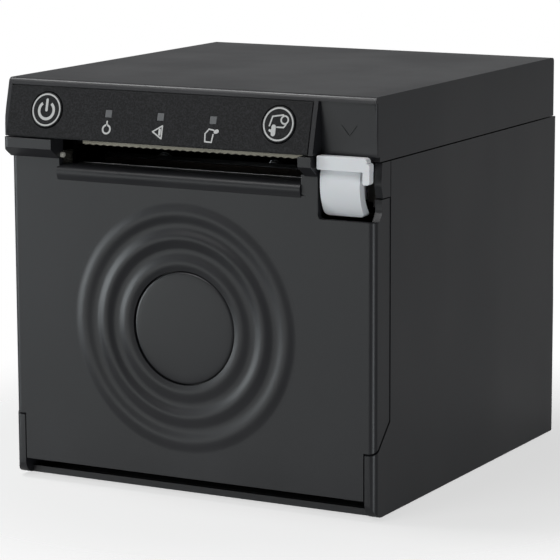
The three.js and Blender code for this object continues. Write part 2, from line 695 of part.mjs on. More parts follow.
function frontDoor() {
  const bosses = [-1, 1].map((side) => {
    const [x0, x1] = side > 0 ? [53, 60.8] : [-60.8, -53];
    return join(
      rodX(x0, x1, HINGE_Y, HINGE_Z, 3.4),
      box(x0, x1, WALL - 0.5, HINGE_Y, HINGE_Z - 1.5, HINGE_Z + 5),
    );
  });
  const body = join(doorSkin(), doorLip(), doorRipples(), ...bosses);
  const opened = cut(
    body,
    slotCut(),
    leverNotch(),
    box(SIDE_X - WALL - FIT, SIDE_X + 1, -1, DOOR_WRAP + 1, CHEEK_Z - SEAM, HEIGHT),
    rodY(DISC_X, -2, 1.5, DISC_Z, DISC_R + 0.35, 48),
    rodX(-62, -52, HINGE_Y, HINGE_Z, PIN_R + 0.25),
    rodX(52, 62, HINGE_Y, HINGE_Z, PIN_R + 0.25),
  );
  return join(opened, doorSill());
}

const PANEL_Y = WALL + FIT + 0.1; // inner panel of the door
const ARM_INNER = PAPER_WIDTH / 2 + 1.4;

function innerPanel() {
  const sheet = box(-58, 58, PANEL_Y, PANEL_Y + 1.8, 14.5, 86);
  const upper = box(-58, NOTCH_X - 1.6, PANEL_Y, PANEL_Y + 1.8, 85, SILL_Z - 4.5);
  const seat = prismX(
    [
      [PANEL_Y, 91],
      [9.4, 91],
      [9.4, SILL_Z - 2],
      [FIXED_BLADE_Y - FIT, SILL_Z - 2],
      [FIXED_BLADE_Y - FIT, SILL_TOP_Z],
      [SILL_DEPTH + FIT + 0.2, SILL_TOP_Z],
      [SILL_DEPTH + FIT + 0.2, SILL_TOP_Z - 2],
      [PANEL_Y, SILL_Z - 5],
    ],
    PAPER_X - PAPER_WIDTH / 2 - 0.8,
    PAPER_X + PAPER_WIDTH / 2 + 0.8,
  );
  const ribs = [-50, -25, 15, 40].map((x) => box(x - 0.9, x + 0.9, PANEL_Y + 1.7, 9, 18, 82));
  const ties = [20, 80].map((z) => box(-50, 40, PANEL_Y + 1.7, 9, z - 0.9, z + 0.9));
  const arms = [-1, 1].map((side) => {
    const near = PAPER_X + side * ARM_INNER;
    const [x0, x1] = side > 0 ? [near, near + PLATE_THICK] : [near - PLATE_THICK, near];
    const arm = prismX(
      [
        [PANEL_Y + 1, 84],
        [PLATEN_Y - 1, PLATEN_Z - 4.4],
        [PLATEN_Y, PLATEN_Z + 4],
        [PANEL_Y + 1, SILL_Z - 5],
      ],
      x0,
      x1,
    );
    const eye = rodX(x0, x1, PLATEN_Y, PLATEN_Z, SHAFT_R + 2);
    const foot = box(Math.min(x0, near - 1), Math.max(x1, near + 1), PANEL_Y + 1.7, 9, 84, 94);
    return cut(join(arm, eye, foot), rodX(x0 - 1, x1 + 1, PLATEN_Y, PLATEN_Z, SHAFT_R + 0.2));
  });
  return join(sheet, upper, seat, ...ribs, ...ties, ...arms);
}

function buildDoor() {
  add("front_door", frontDoor(), CASE);
  add("door_inner_panel", innerPanel(), DARK_PLASTIC);
  add("emblem_disc", rodY(DISC_X, 0.1, 1.2, DISC_Z, DISC_R, 48), CASE);
  const half = PAPER_WIDTH / 2;
  const bladeRear = FIXED_BLADE_Y + BLADE_THICK;
  const blade = box(PAPER_X - half, PAPER_X + half, FIXED_BLADE_Y, bladeRear, SILL_Z - 1.7, SILL_TOP_Z + 0.2);
  add("fixed_blade", blade, STEEL);
  for (const [side, hand] of [[-1, "left"], [1, "right"]]) {
    const [x0, x1] = side > 0 ? [53.5, SIDE_X - 1] : [1 - SIDE_X, -53.5];
    add("hinge_pin_" + hand, rodX(x0, x1, HINGE_Y, HINGE_Z, PIN_R, 16), STEEL);
    const plate = side > 0 ? PLATE_RIGHT_X : PLATE_LEFT_X;
    const middle = plate - (side * PLATE_THICK) / 2;
    const bush = cut(
      rodX(middle - 1, middle + 1, PLATEN_Y, PLATEN_Z, BUSH_R),
      rodX(plate - 5, plate + 5, PLATEN_Y, PLATEN_Z, SHAFT_R + 0.15),
    );
    add("platen_bush_" + hand, bush, GEAR);
  }
  const rollerX = PAPER_WIDTH / 2 + 0.4;
  const shaft = rodX(GEAR_X - 0.6, PLATE_RIGHT_X + 1.1, PLATEN_Y, PLATEN_Z, SHAFT_R);
  add("platen_shaft", shaft, STEEL);
  const sleeve = cut(
    rodX(PAPER_X - rollerX, PAPER_X + rollerX, PLATEN_Y, PLATEN_Z, PLATEN_R, 32),
    rodX(PAPER_X - 60, PAPER_X + 60, PLATEN_Y, PLATEN_Z, SHAFT_R + FIT),
  );
  add("platen_roller", sleeve, RUBBER);
  add("platen_gear", gearX(PLATEN_TEETH, GEAR_X, PLATEN_Y, PLATEN_Z, IDLER_RISE, SHAFT_R + FIT), GEAR);
}

// ---------- release lever and latch ----------
function leverFace() {
  const radius = 16;
  const midZ = 103.2;
  const inner = radius - LEVER_THICK;
  const outside = cut(
    rodX(LEVER_X0, LEVER_X1, radius - 0.3, midZ, radius, 72),
    rodX(LEVER_X0 - 1, LEVER_X1 + 1, radius - 0.3, midZ, inner, 72),
  );
  const outline = [
    [LEVER_X0, 93.3, 1.4],
    [LEVER_X1, 93.3, 1.4],
    [LEVER_X1, 110],
    [LEVER_X0, 110],
  ];
  return common(outside, prismY(outline, -2, radius * 0.6));
}

// The ledge that a finger presses down, with the flange at its right end.
function leverLedge() {
  const shoulder = SPLIT_Z + 0.4;
  const top = prismY(
    [
      [LEDGE_X0, 107.8, 0.5],
      [LEDGE_X1, 107.8],
      [LEDGE_X1, shoulder, 0.7],
      [LEDGE_X1 - 0.9, shoulder],
      [LEDGE_X1 - 0.9, LEDGE_TOP_Z, 1.2],
      [LEDGE_X0, LEDGE_TOP_Z, 0.5],
    ],
    LEDGE_FRONT_Y,
    0.2,
  );
  const web = box(LEDGE_X0 + 0.6, LEDGE_X1 - 2.4, 0.1, RECESS_TOP_Y - 0.1, 107.8, SPLIT_Z);
  const flange = prismY(
    [
      [LEDGE_X1 - 2.3, 104, 0.5],
      [LEDGE_X1, 104, 0.9],
      [LEDGE_X1, shoulder - 1],
      [LEDGE_X1 - 2.3, shoulder - 1],
    ],
    LEDGE_FRONT_Y,
    0,
  );
  return join(top, web, flange);
}

function releaseLever() {
  const arm = prismX(
    [
      [0.6, 98],
      [LEVER_PIVOT_Y - 2, 97.8],
      [LEVER_PIVOT_Y + 7.5, LEVER_PIVOT_Z - 0.6, 0.8],
      [LEVER_PIVOT_Y + 7.5, LEVER_PIVOT_Z + 2, 0.8],
      [LEVER_PIVOT_Y - 2, LEVER_PIVOT_Z + 3.6],
      [1.2, 108.6],
    ],
    50,
    57.5,
  );
  const boss = rodX(LEVER_BOSS_X, 57.5, LEVER_PIVOT_Y, LEVER_PIVOT_Z, STUD_R + 2.4);
  const trimmed = common(arm, box(0, 100, 1, 60, 90, 109));
  return cut(
    join(leverFace(), leverLedge(), trimmed, boss),
    rodX(40, 66, LEVER_PIVOT_Y, LEVER_PIVOT_Z, STUD_R + 0.25),
  );
}

// The two faces of a hook, just inside the side plate.
function hookPlace(side) {
  const plate = side > 0 ? PLATE_RIGHT_X : PLATE_LEFT_X;
  const outer = plate - side * (PLATE_THICK + 0.8);
  return [outer, outer - side * PLATE_THICK].sort((a, b) => a - b);
}

// A hook on the latch shaft that reaches forward over the platen's shaft.
function latchHook(x0, x1) {
  const hook = prismX(
    [
      [LATCH_Y + 2.9, LATCH_Z + 2.4, 1.5],
      [13, LATCH_Z + 0.6],
      [10.6, LATCH_Z - 1.1, 1],
      [10.6, 100.6],
      [12.8, 100.6],
      [14.2, LATCH_Z - 2],
      [LATCH_Y - 6, LATCH_Z - 1.6],
      [LATCH_Y - 1, LATCH_Z - 3.6, 1.5],
      [LATCH_Y + 2.9, LATCH_Z - 2, 1],
    ],
    x0,
    x1,
  );
  return cut(hook, rodX(x0 - 1, x1 + 1, LATCH_Y, LATCH_Z, LATCH_R + FIT));
}

function latchCrank() {
  return prismX(
    [
      [LATCH_Y + 1, LATCH_Z + 3.6, 1.6],
      [LEVER_PIVOT_Y + 5, LATCH_Z + 1.6, 0.7],
      [LEVER_PIVOT_Y + 5, LEVER_PIVOT_Z + 2.7, 0.7],
      [LATCH_Y - 2, LEVER_PIVOT_Z + 3],
      [LATCH_Y + 3.6, LATCH_Z - 3, 1.6],
    ],
    51,
    56,
  );
}

function leverBracket() {
  const outerX = SIDE_X - WALL - 0.8;
  const outer = box(outerX - 1.2, outerX, 7, 30, 96, 105.5);
  const web = box(PLATE_RIGHT_X + FIT, outerX, 22, 34, 90.6, 91.8);
  const rise = box(outerX - 1.2, outerX, 18, 34, 90.6, 97);
  const front = box(outerX - 3, outerX, 7, 8.2, 97.5, 103.6);
  const foot = box(PLATE_RIGHT_X + FIT, PLATE_RIGHT_X + FIT + 1.2, 22, 34, 86, 91);
  return cut(
    join(outer, web, rise, front, foot),
    rodX(outerX - 4, outerX + 1, LEVER_PIVOT_Y, LEVER_PIVOT_Z, STUD_R + FIT),
  );
}

function buildLatch() {
  add("release_lever", releaseLever(), LEVER_WHITE);
  add("lever_bracket", leverBracket(), ZINC);
  const springX = PLATE_RIGHT_X + 0.9;
  const spring = coil(STUD_R + 1, LEVER_BOSS_X - 0.4 - springX, 4, 0.4);
  add("lever_spring", spring.translate(springX, LEVER_PIVOT_Y, LEVER_PIVOT_Z), SPRING);
  const shaft = rodX(PLATE_LEFT_X + 0.2, 57, LATCH_Y, LATCH_Z, LATCH_R);
  add("latch_shaft", join(shaft, latchCrank()), STEEL);
  add("latch_hook_left", latchHook(...hookPlace(-1)), ZINC);
  add("latch_hook_right", latchHook(...hookPlace(1)), ZINC);
}

// ---------- print mechanism ----------
const HEAD_X0 = PAPER_X - PAPER_WIDTH / 2 + 0.6;
const HEAD_X1 = PAPER_X + PAPER_WIDTH / 2 - 0.6;
const HEAD_DOWN = 9; // head below the contact line, along its own plane
const HEAD_UP = 4.4;
const HEAD_PIVOT_R = 1.2;
const HEAD_PIVOT_DOWN = 7.4;
const SPRING_ROOM = 5.2; // from the back of the head to the plate that its springs press on

function sidePlate(x0, x1) {
  const outline = [
    [12, 86.7],
    [12, 114, 2],
    [22, 119.5, 2],
    [MOTOR_Y + 9, 119.5, 2],
    [MOTOR_Y + 12, 100, 2],
    [LEDGE_Y[1], 86.7],
  ];
  const mouth = prismX(
    [
      [PLATEN_Y, PLATEN_Z - BUSH_R - 0.35],
      [0, PLATEN_Z - BUSH_R - 0.35],
      [0, PLATEN_Z + BUSH_R + 1.9],
      [PLATEN_Y, PLATEN_Z + BUSH_R + 0.35],
    ],
    x0 - 1,
    x1 + 1,
  );
  return cut(
    prismX(outline, x0, x1),
    mouth,
    rodX(x0 - 1, x1 + 1, PLATEN_Y, PLATEN_Z, BUSH_R + 0.35),
    rodX(x0 - 1, x1 + 1, LATCH_Y, LATCH_Z, LATCH_R + 0.25),
  );
}

function mechanismFrame() {
  const left = [PLATE_LEFT_X, PLATE_LEFT_X + PLATE_THICK];
  const right = [PLATE_RIGHT_X - PLATE_THICK, PLATE_RIGHT_X];
  const backing = onHead(
    box(left[0] + 0.5, right[1] - 0.5, HEAD_THICK + SPRING_ROOM, HEAD_THICK + SPRING_ROOM + 1.2, -9, 4.5),
  );
  const guide = box(left[0] + 0.5, right[1] - 0.5, 30, 31.2, 86.7, 91);
  const deck = box(left[0] + 0.5, right[1] - 0.5, LEDGE_Y[0] - 6, LEDGE_Y[1] - 2, 93.6, 94.8);
  const flanges = [
    box(PLATE_LEFT_X - 9, left[1], ...LEDGE_Y, LEDGE_Z + FIT, LEDGE_Z + FIT + PLATE_THICK),
    box(right[0], PLATE_RIGHT_X + 10, ...LEDGE_Y, LEDGE_Z + FIT, LEDGE_Z + FIT + PLATE_THICK),
  ];
  const whole = join(sidePlate(...left), sidePlate(...right), backing, guide, deck, ...flanges);
  const pivot = headPivot();
  const studs = [
    rodX(GEAR_X - 0.8, left[1], IDLER_Y, IDLER_Z, 1.5, 16),
    rodX(right[0], SIDE_X - WALL - FIT, LEVER_PIVOT_Y, LEVER_PIVOT_Z, STUD_R),
  ];
  const hookRoom = [-1, 1].map((side) => {
    const [near, far] = hookPlace(side);
    return box(near - 0.6, far + 0.6, 22, LATCH_Y + 5, 101.4, HEIGHT);
  });
  return cut(
    join(cut(whole, ...hookRoom), ...studs),
    rodX(left[0] - 1, left[1] + 1, MOTOR_Y, MOTOR_Z, 3.2),
    rodX(left[0] - 1, left[1] + 1, pivot.y, pivot.z, HEAD_PIVOT_R + FIT, 12),
    rodX(right[0] - 1, right[1] + 1, pivot.y, pivot.z, HEAD_PIVOT_R + FIT, 12),
    rodX(left[0] - 1, left[1] + 1, CUTTER_Y, CUTTER_Z + 2, SCREW_HOLE_R, 12),
    rodX(right[0] - 1, right[1] + 1, CUTTER_Y, CUTTER_Z + 2, SCREW_HOLE_R, 12),
  );
}

// The rod that the head rocks on, at the foot of the head.
function headPivot() {
  const point = new THREE.Vector3(0, HEAD_THICK / 2 + 0.4, -HEAD_PIVOT_DOWN);
  point.applyAxisAngle(AXIS_X, HEAD_TILT);
  const reach = PLATEN_R + HEAD_GAP;
  point.y += PLATEN_Y + reach * Math.cos(HEAD_TILT);
  point.z += PLATEN_Z + reach * Math.sin(HEAD_TILT);
  return point;
}

function buildHead() {
  const sink = join(
    box(HEAD_X0, HEAD_X1, 1.1, HEAD_THICK, -HEAD_DOWN, HEAD_UP),
    box(HEAD_X0, HEAD_X1, 0.5, HEAD_THICK + 0.6, -HEAD_DOWN, -HEAD_DOWN + 3.4),
  );
  const pivot = headPivot();
  const pins = rodX(PLATE_LEFT_X - 0.4, PLATE_RIGHT_X + 0.1, pivot.y, pivot.z, HEAD_PIVOT_R, 16);
  add("head_heatsink", join(onHead(sink), pins), ALUMINIUM);
  const strip = box(HEAD_X0 + 0.4, HEAD_X1 - 0.4, 0, 0.8, -5, HEAD_UP);
  add("thermal_head", onHead(strip), CERAMIC);
  for (const [offset, hand] of [[-20, "left"], [20, "right"]]) {
    const spring = coil(2.2, SPRING_ROOM - 2, 3, 0.35).rotateZ(Math.PI / 2);
    const placed = onHead(spring.translate(PAPER_X + offset, HEAD_THICK + 0.6, 1));
    add("head_spring_" + hand, placed, SPRING);
  }
}

function buildFeed() {
  const idlerPhase = meshedPhase(IDLER_RISE, PLATEN_TEETH, IDLER_RISE, IDLER_TEETH);
  const pinionPhase = meshedPhase(idlerPhase, IDLER_TEETH, MOTOR_RISE, PINION_TEETH);
  add("idler_gear", gearX(IDLER_TEETH, GEAR_X, IDLER_Y, IDLER_Z, idlerPhase, 1.8), GEAR);
  add("feed_pinion", gearX(PINION_TEETH, GEAR_X, MOTOR_Y, MOTOR_Z, pinionPhase, 1.3), ZINC);
  const motorX = PLATE_LEFT_X + PLATE_THICK + FIT;
  const motor = join(
    rodX(motorX, motorX + MOTOR_LENGTH, MOTOR_Y, MOTOR_Z, MOTOR_R),
    rodX(motorX - PLATE_THICK - 0.6, motorX + 1, MOTOR_Y, MOTOR_Z, 2.8),
    rodX(GEAR_X - 0.6, motorX + 1, MOTOR_Y, MOTOR_Z, 1, 16),
  );
  add("feed_motor", motor, STEEL);
}

// ---------- cutter ----------
function cutterFrame() {
  const x0 = BLADE_X0 - 1.4;
  const x1 = BLADE_X1 + 1.4;
  const rearY = BLADE_Y + BLADE_THICK + 0.4;
  const pieces = [box(x0, x1, rearY, rearY + PLATE_THICK, 108.6, 123)];
  for (const side of [-1, 1]) {
    const [a, b] = side < 0 ? [x0, BLADE_X0 - FIT] : [BLADE_X1 + FIT, x1];
    pieces.push(box(a, b, BLADE_Y - FIT - 1.2, rearY + 0.1, 112, 118));
    const [c, d] = side < 0 ? [x0, BLADE_X0 + 3] : [BLADE_X1 - 3, x1];
    pieces.push(box(c, d, BLADE_Y - FIT - 1.2, BLADE_Y - FIT, 112, 118));
    const ear = side < 0 ? PLATE_LEFT_X + PLATE_THICK + FIT : PLATE_RIGHT_X - PLATE_THICK - FIT;
    const [e, f] = side < 0 ? [ear, x0 + 1] : [x1 - 1, ear];
    const [g, h] = side < 0 ? [ear, ear + 1.2] : [ear - 1.2, ear];
    pieces.push(box(e, f, rearY, rearY + PLATE_THICK, 112, 121));
    pieces.push(box(g, h, rearY, CUTTER_Y + 4, 112, 119));
  }
  const holes = [box(RACK_X - 3.8, RACK_X + 3.8, rearY - 1, rearY + 3, 100, 122.2)];
  holes.push(rodX(PLATE_LEFT_X, x0, CUTTER_Y, CUTTER_Z + 2, SCREW_HOLE_R, 12));
  holes.push(rodX(x1, PLATE_RIGHT_X, CUTTER_Y, CUTTER_Z + 2, SCREW_HOLE_R, 12));
  return cut(join(...pieces), ...holes);
}

function movingBlade() {
  const outline = [
    [BLADE_X0, BLADE_EDGE_Z],
    [PAPER_X, BLADE_EDGE_Z + 1],
    [BLADE_X1, BLADE_EDGE_Z],
    [BLADE_X1, BLADE_TOP_Z],
    [BLADE_X0, BLADE_TOP_Z],
  ];
  return prismY(outline, BLADE_Y, BLADE_Y + BLADE_THICK);
}

// The plastic carrier behind the blade, with the rack that the cutter pinion drives.
function bladeCarrier() {
  const pitch = Math.PI * GEAR_MODULE;
  const line = CUTTER_Y - pitchRadius(PINION_TEETH);
  const root = line - TOOTH_ROOT * GEAR_MODULE;
  const tip = line + TOOTH_TIP * GEAR_MODULE;
  const front = BLADE_Y + BLADE_THICK + FIT;
  const corners = [[front, CUTTER_Z - 2.4]];
  for (let k = -1; k < 3; k++) {
    const middle = CUTTER_Z + (k + 0.5) * pitch;
    corners.push([root, middle - ROOT_SHARE * pitch], [tip, middle - TIP_SHARE * pitch]);
    corners.push([tip, middle + TIP_SHARE * pitch], [root, middle + ROOT_SHARE * pitch]);
  }
  corners.push([root, CUTTER_Z + 7], [front, CUTTER_Z + 7]);
  return prismX(corners, RACK_X - 2.6, RACK_X + 2.6);
}

function tearBar() {
  const x0 = PAPER_X - PAPER_WIDTH / 2 + 3;
  const x1 = PAPER_X + PAPER_WIDTH / 2 + 2;
  const teeth = 30;
  const pitch = (x1 - x0) / teeth;
  const corners = [[x0, 110.8], [x0, TEAR_Z + 0.35]];
  for (let i = 0; i < teeth; i++) {
    corners.push([x0 + pitch * (i + 0.5), TEAR_Z], [x0 + pitch * (i + 1), TEAR_Z + 0.35]);
  }
  corners.push([x1, 110.8]);
  const web = prismY(corners, 3, 3.8);
  const shelf = box(x0, x1, 3, BLADE_Y - FIT - 0.1, 110.3, 111.1);
  return join(web, shelf);
}

function buildCutter() {
  add("cutter_frame", cutterFrame(), ZINC);
  add("moving_blade", movingBlade(), STEEL);
  add("blade_carrier", bladeCarrier(), DARK_PLASTIC);
  add("tear_bar", tearBar(), STEEL);
  const bore = 1.3;
  const pinion = gearX(PINION_TEETH, RACK_X - GEAR_WIDTH / 2, CUTTER_Y, CUTTER_Z, Math.PI, bore);
  add("cutter_pinion", pinion, GEAR);
  const x1 = RACK_X - GEAR_WIDTH / 2 - 1;
  const can = prismX(rectangle(CUTTER_Y - 4.7, CUTTER_Y + 5, CUTTER_Z - 6, CUTTER_Z + 6, 2.4), x1 - 24, x1);
  const motor = join(can, rodX(x1 - 1, RACK_X + GEAR_WIDTH / 2 + 0.5, CUTTER_Y, CUTTER_Z, 1, 16));
  add("cutter_motor", motor, STEEL);
}

// ---------- paper tray, boards and sockets ----------
function paperTray() {
  const outer = TRAY_R + TRAY_WALL;
  const half = PAPER_WIDTH / 2 + 1;
  const x0 = PAPER_X - half - TRAY_WALL;
  const x1 = PAPER_X + half + TRAY_WALL;
  const arc = (radius, from, to, steps) => {
    const points = [];
    for (let k = 0; k <= steps; k++) {
      const angle = THREE.MathUtils.degToRad(from + ((to - from) * k) / steps);
      points.push([ROLL_Y + radius * Math.cos(angle), ROLL_Z + radius * Math.sin(angle)]);
    }
    return points;
  };
  const from = -150;
  const to = 60;
  const floor = prismX([...arc(outer, from, to, 20), ...arc(TRAY_R, to, from, 20)], x0, x1);
  const cheek = [...arc(outer, from, to, 20), [ROLL_Y - 12, 80], [ROLL_Y - 34, 60]];
  return join(
    floor,
    prismX(cheek, x0, x0 + TRAY_WALL),
    prismX(cheek, x1 - TRAY_WALL, x1),
  );
}

const SOCKETS = [
  { name: "power_inlet", x: -34, width: 14, height: 14, mouth: [10, 10], depth: 11, pins: 3 },
  { name: "usb_port", x: -15, width: 12, height: 11, mouth: [8.6, 7.8], depth: 9, tongue: true },
  { name: "ethernet_port", x: 7, width: 16, height: 13.5, mouth: [11.8, 8.2], depth: 12 },
  { name: "drawer_port", x: 30, width: 14, height: 12.5, mouth: [9.8, 7], depth: 12 },
];
const SOCKET_END_Y = PORT_PANEL_Y + PORT_PANEL_THICK + 0.6;

// A block on the interface board with its mouth to the rear.
function socket({ x, width, height, mouth, depth, pins = 0, tongue = false }) {
  const start = PORT_BOARD_Y + BOARD_THICK + FIT;
  const across = (half) => [x - half, x + half];
  const upright = (half) => [PORT_Z - half, PORT_Z + half];
  const floor = SOCKET_END_Y - depth;
  const body = box(...across(width / 2), start, SOCKET_END_Y, ...upright(height / 2));
  const [wide, high] = mouth;
  if (pins > 0) {
    const opened = cut(body, rodY(x, floor, SOCKET_END_Y + 1, PORT_Z, wide / 2));
    const contacts = [];
    for (let k = 0; k < pins; k++) {
      const angle = Math.PI / 2 + (2 * Math.PI * k) / pins;
      const [pinX, pinZ] = [x + 2.4 * Math.cos(angle), PORT_Z + 2.4 * Math.sin(angle)];
      contacts.push(rodY(pinX, floor - 1, SOCKET_END_Y - 3, pinZ, 0.6, 8));
    }
    return join(opened, ...contacts);
  }
  const opened = cut(body, box(...across(wide / 2), floor, SOCKET_END_Y + 1, ...upright(high / 2)));
  if (!tongue) return opened;
  return join(opened, box(...across(2.8), floor - 1, SOCKET_END_Y - 1, ...upright(1.2)));
}

function portPanel() {
  const sheet = box(-52, 52, PORT_PANEL_Y, PORT_PANEL_Y + PORT_PANEL_THICK, 7.5, 46);
  const cuts = SOCKETS.map(({ x, width, height }) => {
    const w = width / 2 + FIT;
    const h = height / 2 + FIT;
    return box(x - w, x + w, PORT_PANEL_Y - 1, PORT_PANEL_Y + 3, PORT_Z - h, PORT_Z + h);
  });
  const holes = [-1, 1].map((side) =>
    rodY(side * PANEL_SCREW_X, PORT_PANEL_Y - 1, PORT_PANEL_Y + 3, PORT_Z, SCREW_HOLE_R, 12));
  return cut(sheet, ...cuts, ...holes);
}

function ribbonCable() {
  const path = [[33, 93.2], [42, 96.4], [64, 96.4], [98, 94], [102, 90], [102, 76]];
  const thick = 0.5;
  const over = path.map(([y, z]) => [y + thick * 0.4, z + thick]);
  return prismX([...path, ...over.reverse()], PAPER_X + 4, PAPER_X + 24);
}

function mainBoard() {
  const face = MAIN_BOARD_Y + BOARD_THICK;
  return join(
    box(-60, 60, MAIN_BOARD_Y, face, 6.5, 88),
    box(-12, 6, face - 0.1, face + 2, 40, 58),
    box(20, 32, face - 0.1, face + 1.6, 60, 70),
    box(-45, -30, face - 0.1, face + 1.8, 56, 66),
    rodY(40, face - 0.1, face + 5, 30, 5, 16),
    rodY(-40, face - 0.1, face + 5, 30, 5, 16),
  );
}

function buildInside() {
  add("paper_tray", paperTray(), DARK_PLASTIC);
  add("mechanism_frame", mechanismFrame(), ZINC);
  for (const [side, hand] of [[-1, "left"], [1, "right"]]) {
    const holder = screw(SCREW_R, 6, 2.8, 1.3);
    const seat = PORT_PANEL_Y + PORT_PANEL_THICK + 0.2;
    add("panel_screw_" + hand, holder.translate(side * PANEL_SCREW_X, seat, PORT_Z), STEEL);
  }
  add("main_board", mainBoard(), BOARD);
  const board = box(-50, 50, PORT_BOARD_Y, PORT_BOARD_Y + BOARD_THICK, 7.5, 46);
  add("interface_board", board, BOARD);
  SOCKETS.forEach((spec) => add(spec.name, socket(spec), spec.pins ? DARK_PLASTIC : STEEL));
  add("rear_panel", portPanel(), ZINC);
  add("head_ribbon_cable", ribbonCable(), RIBBON);
}

buildHousing();
buildCover();
buildDoor();
buildLatch();
buildHead();
buildFeed();
buildCutter();
buildInside();

printer.position.y = -(DEPTH - LIP_PROUD) / 2;

export default printer;
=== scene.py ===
import json
import math
import bmesh
import bpy
from mathutils import Matrix, Vector


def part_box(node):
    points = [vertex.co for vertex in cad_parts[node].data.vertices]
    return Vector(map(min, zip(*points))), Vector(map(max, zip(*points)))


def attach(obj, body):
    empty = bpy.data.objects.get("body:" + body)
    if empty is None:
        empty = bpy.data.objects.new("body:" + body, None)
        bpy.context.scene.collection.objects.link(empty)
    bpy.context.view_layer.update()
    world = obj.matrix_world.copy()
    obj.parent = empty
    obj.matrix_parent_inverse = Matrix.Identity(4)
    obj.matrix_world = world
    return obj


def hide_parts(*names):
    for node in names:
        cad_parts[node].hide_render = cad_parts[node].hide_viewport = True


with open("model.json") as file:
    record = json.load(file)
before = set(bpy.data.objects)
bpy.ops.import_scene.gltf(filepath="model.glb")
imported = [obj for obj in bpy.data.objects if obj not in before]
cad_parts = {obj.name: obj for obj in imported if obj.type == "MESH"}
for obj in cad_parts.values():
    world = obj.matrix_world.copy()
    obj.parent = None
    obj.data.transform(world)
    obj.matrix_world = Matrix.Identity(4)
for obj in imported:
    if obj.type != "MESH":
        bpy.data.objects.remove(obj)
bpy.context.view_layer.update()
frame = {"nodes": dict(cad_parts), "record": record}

MM = 0.001
LIP_PROUD = 4.8  # the door's lip in front of its face
FACE_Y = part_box("front_door")[0].y + LIP_PROUD * MM  # the door's face; lengths below run back from it


def spot(x, y, z):
    """A point in metres from millimetres: right of the middle, behind the door's face, above the table."""
    return Vector((x * MM, FACE_Y + y * MM, z * MM))


# ---------------------------------------------------------------- camera and light
VIEW_TURN = math.radians(28.4635)  # to the right of the front
VIEW_RISE = math.radians(10.1496)
VIEW_ROLL = math.radians(-0.2149)
VIEW_TARGET = Vector((0, 0.00246, 0.06514))
VIEW_DISTANCE = 0.9420
VIEW_ASIDE, VIEW_UP = -0.0043, -0.00609  # the camera's own shift to its right and upwards
FOCAL_LENGTH, SENSOR_WIDTH = 182.72, 36

WORLD_TINT = (0.96, 0.98, 1, 1)
WORLD_GLOW = 0.17  # what the room adds to the light on the printer
BACKDROP = 1.0  # what the camera sees behind it

LIGHT_AIM = (0, 0, 0.06)
NEUTRAL = (1, 1, 1)
COOL = (0.92, 0.97, 1)
LIGHTS = (  # name, place, width and height, watts, tint
    ("overhead_softbox", (-0.47, -0.12, 0.95), (0.26, 0.26), 4.0, NEUTRAL),
    ("front_softbox", (-0.35, -0.95, 0.95), (0.6, 0.6), 5.0, NEUTRAL),
    ("left_card", (-0.96, -0.58, 0.08), (0.34, 0.42), 3.0, (0.90, 0.97, 1)),
    ("low_front_card", (-0.61, -1.12, -0.09), (0.9, 0.36), 1.3, (0.96, 1, 0.98)),
    ("low_right_card", (0.98, -0.62, -0.16), (0.30, 0.4), 2.4, COOL),
    ("rear_card", (-0.5, 1.25, 0.40), (0.8, 0.35), 0.15, NEUTRAL),
    ("right_card", (1.2, 0.2, 0.4), (0.4, 0.5), 0.5, NEUTRAL),
    ("low_rear_card", (0.58, 1.05, -0.16), (0.7, 0.4), 0.17, NEUTRAL),
)

FLOOR_RADIUS = 0.5
FLOOR_FADES = (0.10, 0.20)  # it is at its strongest within the first radius, and gone at the second
FLOOR_SHOWS = 0.36


def add_camera():
    """A long lens that looks down on the front from a little to the right."""
    back = Vector((
        math.sin(VIEW_TURN) * math.cos(VIEW_RISE),
        -math.cos(VIEW_TURN) * math.cos(VIEW_RISE),
        math.sin(VIEW_RISE),
    ))
    level = Vector((math.cos(VIEW_TURN), math.sin(VIEW_TURN), 0))
    upright = back.cross(level)
    right = math.cos(VIEW_ROLL) * level + math.sin(VIEW_ROLL) * upright
    up = math.cos(VIEW_ROLL) * upright - math.sin(VIEW_ROLL) * level
    lens = bpy.data.cameras.new("studio_camera")
    lens.sensor_width = SENSOR_WIDTH
    lens.lens = FOCAL_LENGTH
    lens.clip_start = 0.05
    camera = bpy.data.objects.new("studio_camera", lens)
    bpy.context.scene.collection.objects.link(camera)
    place = VIEW_TARGET + back * VIEW_DISTANCE + right * VIEW_ASIDE + up * VIEW_UP
    camera.matrix_world = Matrix.Translation(place) @ Matrix((right, up, back)).transposed().to_4x4()
    bpy.context.scene.camera = camera


def add_light(name, place, size, power, tint):
    """A rectangle of soft light that points at the printer and isn't seen itself."""
    lamp = bpy.data.lights.new(name, "AREA")
    lamp.shape = "RECTANGLE"
    lamp.size, lamp.size_y = size
    lamp.energy = power
    lamp.color = tint
    box = bpy.data.objects.new(name, lamp)
    bpy.context.scene.collection.objects.link(box)
    place = Vector(place)
    facing = (place - Vector(LIGHT_AIM)).to_track_quat("Z", "Y").to_matrix().to_4x4()
    box.matrix_world = Matrix.Translation(place) @ facing
    box.visible_camera = False


